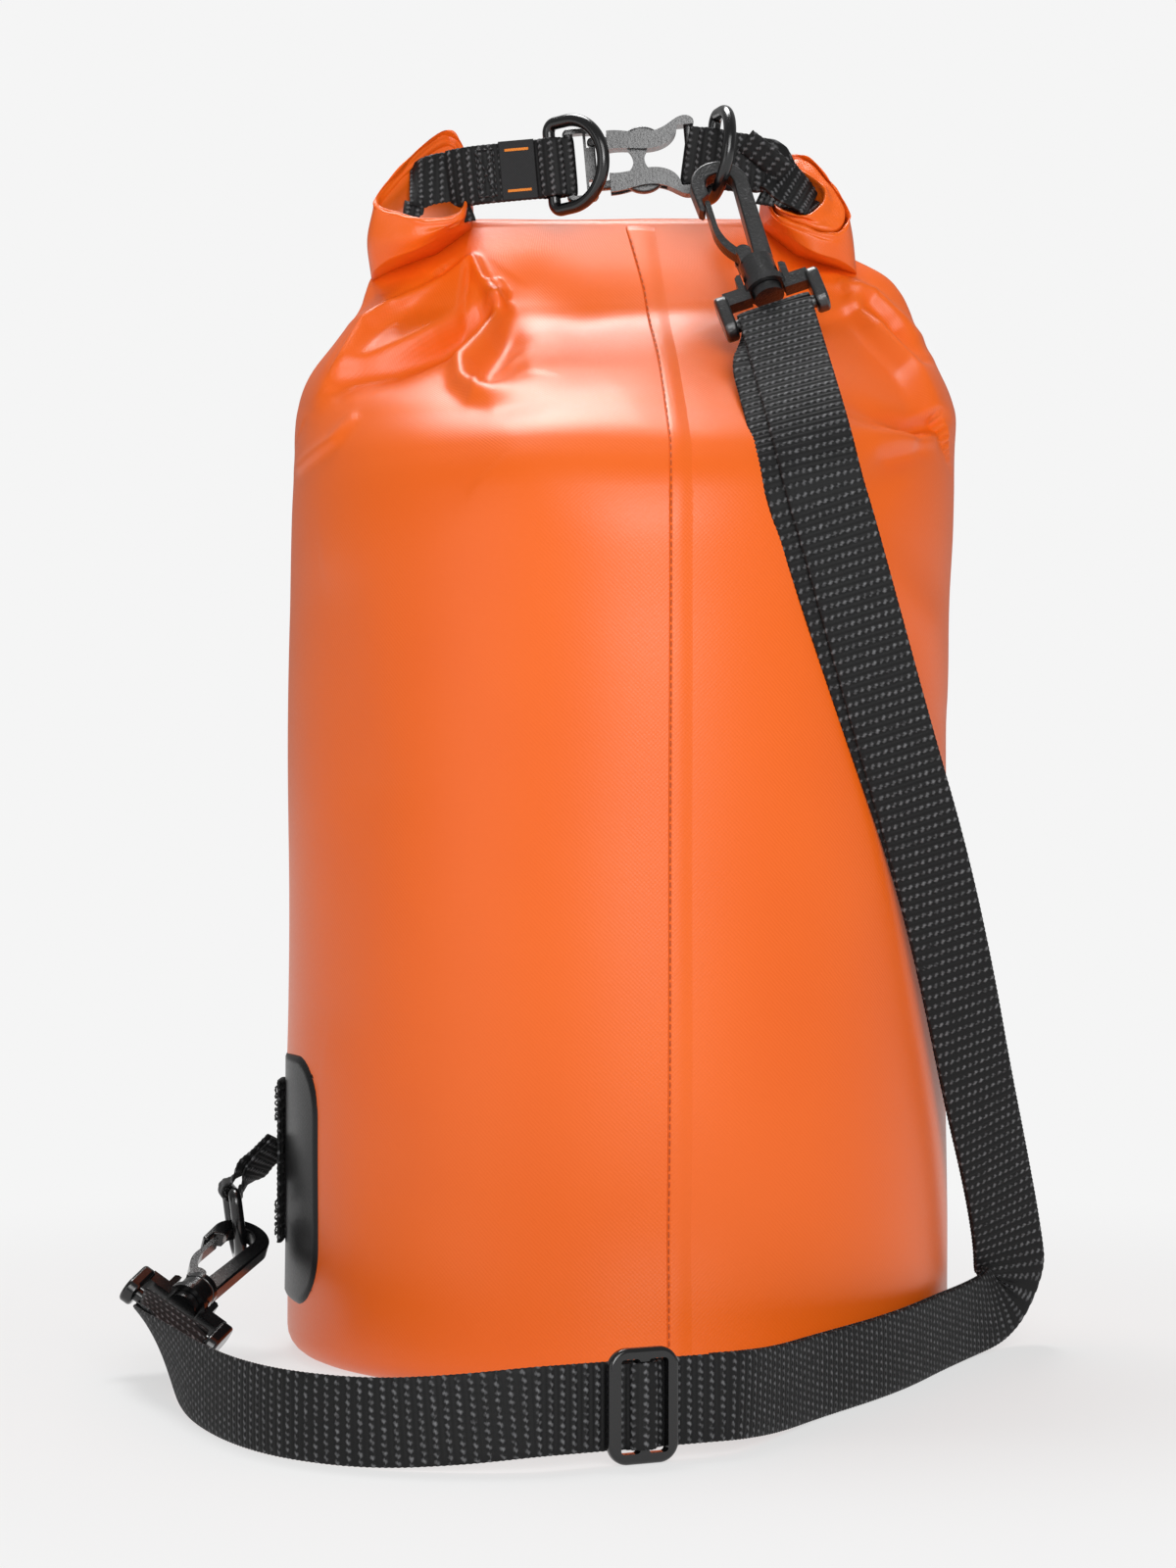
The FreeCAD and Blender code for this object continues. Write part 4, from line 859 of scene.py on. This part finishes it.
def strap_line():
    """The strap's line every 2 mm, its width's direction, its face's, and the run so far, in mm.
    The width is the way from the line to a second spline, moved sideways by half a strap."""
    points = np.array([p for p, _ in ROUTE], float)
    ways = unit(np.array([w for _, w in ROUTE], float)) * STRAP / 2
    middle = spline_points("strap_line", points * MM) / MM
    edge = spline_points("strap_edge", (points + ways) * MM) / MM
    rows, run = evened(np.concatenate([middle, edge - middle], 1), 2.0)
    middle, wide = rows[:, :3], unit(rows[:, 3:])
    way = unit(np.gradient(middle, axis=0))
    wide = unit(wide - way * np.sum(wide * way, 1, keepdims=True))
    return middle, wide, np.cross(way, wide), run


def shoulder_strap():
    """Outer layer all the way, inner layer from the upper bar to the slider, the sewn end at the
    lower bar, and a half turn of webbing round each bar."""
    middle, wide, face, run = strap_line()
    outer = ribbon("strap_outer_layer", middle, wide, STRAP, STRAP_THICK)
    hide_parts("shoulder_strap")
    to_slider = np.linalg.norm(middle - (SLIDER - slider_way * 24), axis=1).argmin()
    near = STRAP_THICK + LAYER_GAP
    gap = np.maximum(near, 2 * LOOP - 0.245 * run[:to_slider + 1])
    part = run[:to_slider + 1]
    aside = 6.5 * ease(part / 28) * (1 - ease((part - 60) / 190))
    line = middle[:to_slider + 1] - face[:to_slider + 1] * gap[:, None]
    inner = ribbon("strap_inner_layer", line - wide[:to_slider + 1] * aside[:, None],
                   wide[:to_slider + 1], STRAP, STRAP_THICK)
    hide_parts("strap_return")
    left = run[-1] - run
    ends = left < 36
    gap = np.maximum(near, 2 * LOOP - 0.245 * left[ends])
    sewn = ribbon("strap_sewn_layer", middle[ends] - face[ends] * gap[:, None], wide[ends], STRAP,
                  STRAP_THICK)
    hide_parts("strap_sewn_end")
    half = np.linspace(0, np.pi, 40)[:, None]
    for name, bar, bar_way, out, sense in (
        ("upper", upper_bar, upper_bar_way, upper_out, -1),
        ("lower", lower_bar, lower_bar_way, lower_out, 1),
    ):
        onward = np.cross(unit(bar_way), out) * sense
        line = bar + out * LOOP * np.cos(half) + onward * LOOP * np.sin(half)
        thing = ribbon(f"strap_{name}_turn", line, np.tile(bar_way, (40, 1)), STRAP, STRAP_THICK)
        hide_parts(f"{name}_loop")
    return outer, inner, sewn, middle, run


strap, strap_inner, strap_sewn, strap_path, strap_run = shoulder_strap()


def slider_hump():
    """The turn of webbing over the slider's middle bar, seen through its windows."""
    out = np.cross(np.array(DOWN, float), slider_way)
    out = out * (1 if out[1] < 0 else -1)
    base = SLIDER + out * 2.8
    hump = ((-7.2, -1.6), (-4.6, -0.3), (-2.6, 2.0), (0, 2.75), (2.6, 2.0), (4.6, -0.3),
            (7.2, -1.6))
    line = [base + slider_way * a + out * o for a, o in hump]
    thing = ribbon("slider_hump", curve(line, 60), np.tile(DOWN, (60, 1)), STRAP - 0.6,
                   STRAP_THICK, "strap_slider")
    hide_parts("slider_turn")


slider_hump()


# ---------------------------------------------------------------- lower anchor
def side_patch():
    """A satin patch welded on the tube: a plate on the cylinder with round corners, its edge
    eased down to the cloth. A point's distance inside the rounded outline sets its height."""
    low, high, half, corner = 19.0, 102.0, 55.0, 20.0
    width = BAG_RADIUS * math.asin(half / BAG_RADIUS)
    u = np.linspace(-width, width, 110)[None, :]
    w = np.linspace(low, high, 84)[:, None]
    centre, tall = (low + high) / 2, (high - low) / 2
    x = u + 0 * w
    over_u = np.maximum(np.abs(x) - (width - corner), 0)
    over_w = np.maximum(np.abs(w - centre) - (tall - corner), 0)
    reach = np.hypot(over_u, over_w)
    pull = np.where(reach > corner, corner / np.maximum(reach, 1e-9), 1.0)
    x = np.sign(x) * (np.minimum(np.abs(x), width - corner) + over_u * pull)
    height = centre + np.sign(w - centre) * (
        np.minimum(np.abs(w - centre), tall - corner) + over_w * pull)
    inside = corner - np.hypot(np.maximum(np.abs(x) - (width - corner), 0),
                               np.maximum(np.abs(height - centre) - (tall - corner), 0))
    inside = np.minimum(inside, np.minimum(width - np.abs(x), tall - np.abs(height - centre)))
    swell = 0.12 * np.sin(x / 6) * np.sin(height / 9)
    radius = BAG_RADIUS - 0.4 + 1.3 * ease(inside / 1.6) + swell
    angle = np.pi + x / BAG_RADIUS
    points = np.stack([radius * np.cos(angle), radius * np.sin(angle), height], -1)
    thing = thicken(surface("anchor_patch", points * MM, patch_cloth), 0.6 * MM)
    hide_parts("side_patch")


def anchor_webbing():
    """The sewn strip, and the loop of webbing that stands off it and holds the lower ring."""
    face_x, y = -114.0 - 1.15, -5.1
    line = [(face_x, y, z) for z in np.linspace(37, 92, 12)]
    strip = ribbon("anchor_strip_webbing", curve(line, 60), np.tile((0, 1.0, 0), (60, 1)), WEB, 2.0)
    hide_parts("anchor_strip")
    ring = np.array((-132.4, -5.1, 53.7))
    bar = np.array((-0.19, 0.98, 0.0))
    root = np.array((-116.4, y, 70.0))
    way = unit(ring - root)
    out = unit(np.cross(bar, way))
    turn = np.linspace(-0.72 * np.pi, 0.72 * np.pi, 40)[:, None]
    eye = 3.25
    round_ring = ring + way * eye * np.cos(turn) + out * eye * np.sin(turn)
    line = np.concatenate([[root - out * 0.9 - way * 1.0, root - out * 0.95 + way * 8], round_ring,
                           [root + out * 0.95 + way * 8, root + out * 0.9 - way * 1.0]])
    line, _ = evened(line, 0.8)
    twist = 0.5 * ease((np.linalg.norm(line - ring, axis=1) - 2) / 9)[:, None]
    loop = ribbon("anchor_loop_webbing", line, bar * np.cos(twist) - out * np.sin(twist), WEB,
                  WEB_THICK)
    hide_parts("anchor_loop")
    x = face_x - 1.15
    for n, (low, high) in enumerate(((39.5, 50.5), (78.5, 89.5))):
        corners = [(x, y - 7.5, low), (x, y + 7.5, low), (x, y + 7.5, high), (x, y - 7.5, high)]
        box_stitching(f"anchor_stitching{n}", corners, (-1.0, 0, 0), "bag", thread_black)


side_patch()
anchor_webbing()

# ---------------------------------------------------------------- moulded hardware
GRAINED = ("buckle_female", "buckle_male", "release_arm_upper", "release_arm_lower", "upper_yoke",
           "upper_hook", "upper_gate")
for name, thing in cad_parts.items():
    for slot in thing.material_slots:
        slot.material = acetal_grained if name in GRAINED else acetal_smooth

# ---------------------------------------------------------------- floor and light
PAPER = "#F5F5F5"


def stage_floor():
    """A plain pale floor that takes a soft shadow near the bag and is plain paper further off:
    the mix of the two goes by the distance from the middle, 3f^2 - 2f^3."""
    mesh = bpy.data.meshes.new("floor")
    mesh.from_pydata([(-30, -6, 0), (30, -6, 0), (30, 60, 0), (-30, 60, 0)], [], [(0, 1, 2, 3)])
    material, tree, shader = finish("floor_paper", Roughness=1.0, Specular_IOR_Level=0.0)
    shader.inputs["Base Color"].default_value = linear("#8C8C8C")
    shader.inputs["Emission Color"].default_value = (1, 1, 1, 1)
    shader.inputs["Emission Strength"].default_value = 0.6
    spot = add(tree, "ShaderNodeTexCoord").outputs["Object"]
    away = add(tree, "ShaderNodeVectorMath", {0: spot, 1: (0, 0, 0)}, operation="DISTANCE")
    far = add(tree, "ShaderNodeMapRange", {0: away.outputs["Value"], 1: 0.16, 2: 0.55},
              interpolation_type="SMOOTHSTEP")
    paper = add(tree, "ShaderNodeEmission", {"Color": linear(PAPER), "Strength": 1.0})
    both = add(tree, "ShaderNodeMixShader", {0: far.outputs[0], 1: shader.outputs[0],
                                             2: paper.outputs[0]})
    tree.links.new(both.outputs[0], tree.nodes["Material Output"].inputs[0])
    mesh.materials.append(material)
    floor = bpy.data.objects.new("floor", mesh)
    bpy.context.collection.objects.link(floor)


def softbox(name, place_at, target, width, height, power):
    """An area light turned to face a point."""
    light = bpy.data.lights.new(name, "AREA")
    light.shape, light.size, light.size_y, light.energy = "RECTANGLE", width, height, power
    thing = bpy.data.objects.new(name, light)
    thing.location = place_at
    thing.rotation_euler = (Vector(target) - Vector(place_at)).to_track_quat("-Z", "Y").to_euler()
    bpy.context.collection.objects.link(thing)


stage_floor()
softbox("over", (-0.12, 0.38, 1.3), (0, 0, 0.3), 0.5, 0.5, 10)
softbox("key", (0.35, -1.9, 0.95), (0, 0, 0.2), 1.3, 1.3, 22)
softbox("fill", (-1.5, -1.4, 0.6), (0, 0, 0.2), 1.0, 1.2, 4)
softbox("glint", (0.35, -2.2, 0.75), (0.05, 0, 0.38), 0.9, 0.5, 8)
world = bpy.data.worlds.new("studio")
world.use_nodes = True
bpy.context.scene.world = world
sky = world.node_tree.nodes["Background"]
sky.inputs["Color"].default_value = linear("#F6F6F6")
sky.inputs["Strength"].default_value = 0.3
direct = add(world.node_tree, "ShaderNodeBackground", {"Color": linear(PAPER), "Strength": 1.0})
seen = add(world.node_tree, "ShaderNodeLightPath")
both = add(world.node_tree, "ShaderNodeMixShader", {0: seen.outputs["Is Camera Ray"],
                                                    1: sky.outputs[0], 2: direct.outputs[0]})
world.node_tree.links.new(both.outputs[0], world.node_tree.nodes["World Output"].inputs[0])
bpy.context.scene.view_settings.view_transform = "Standard"
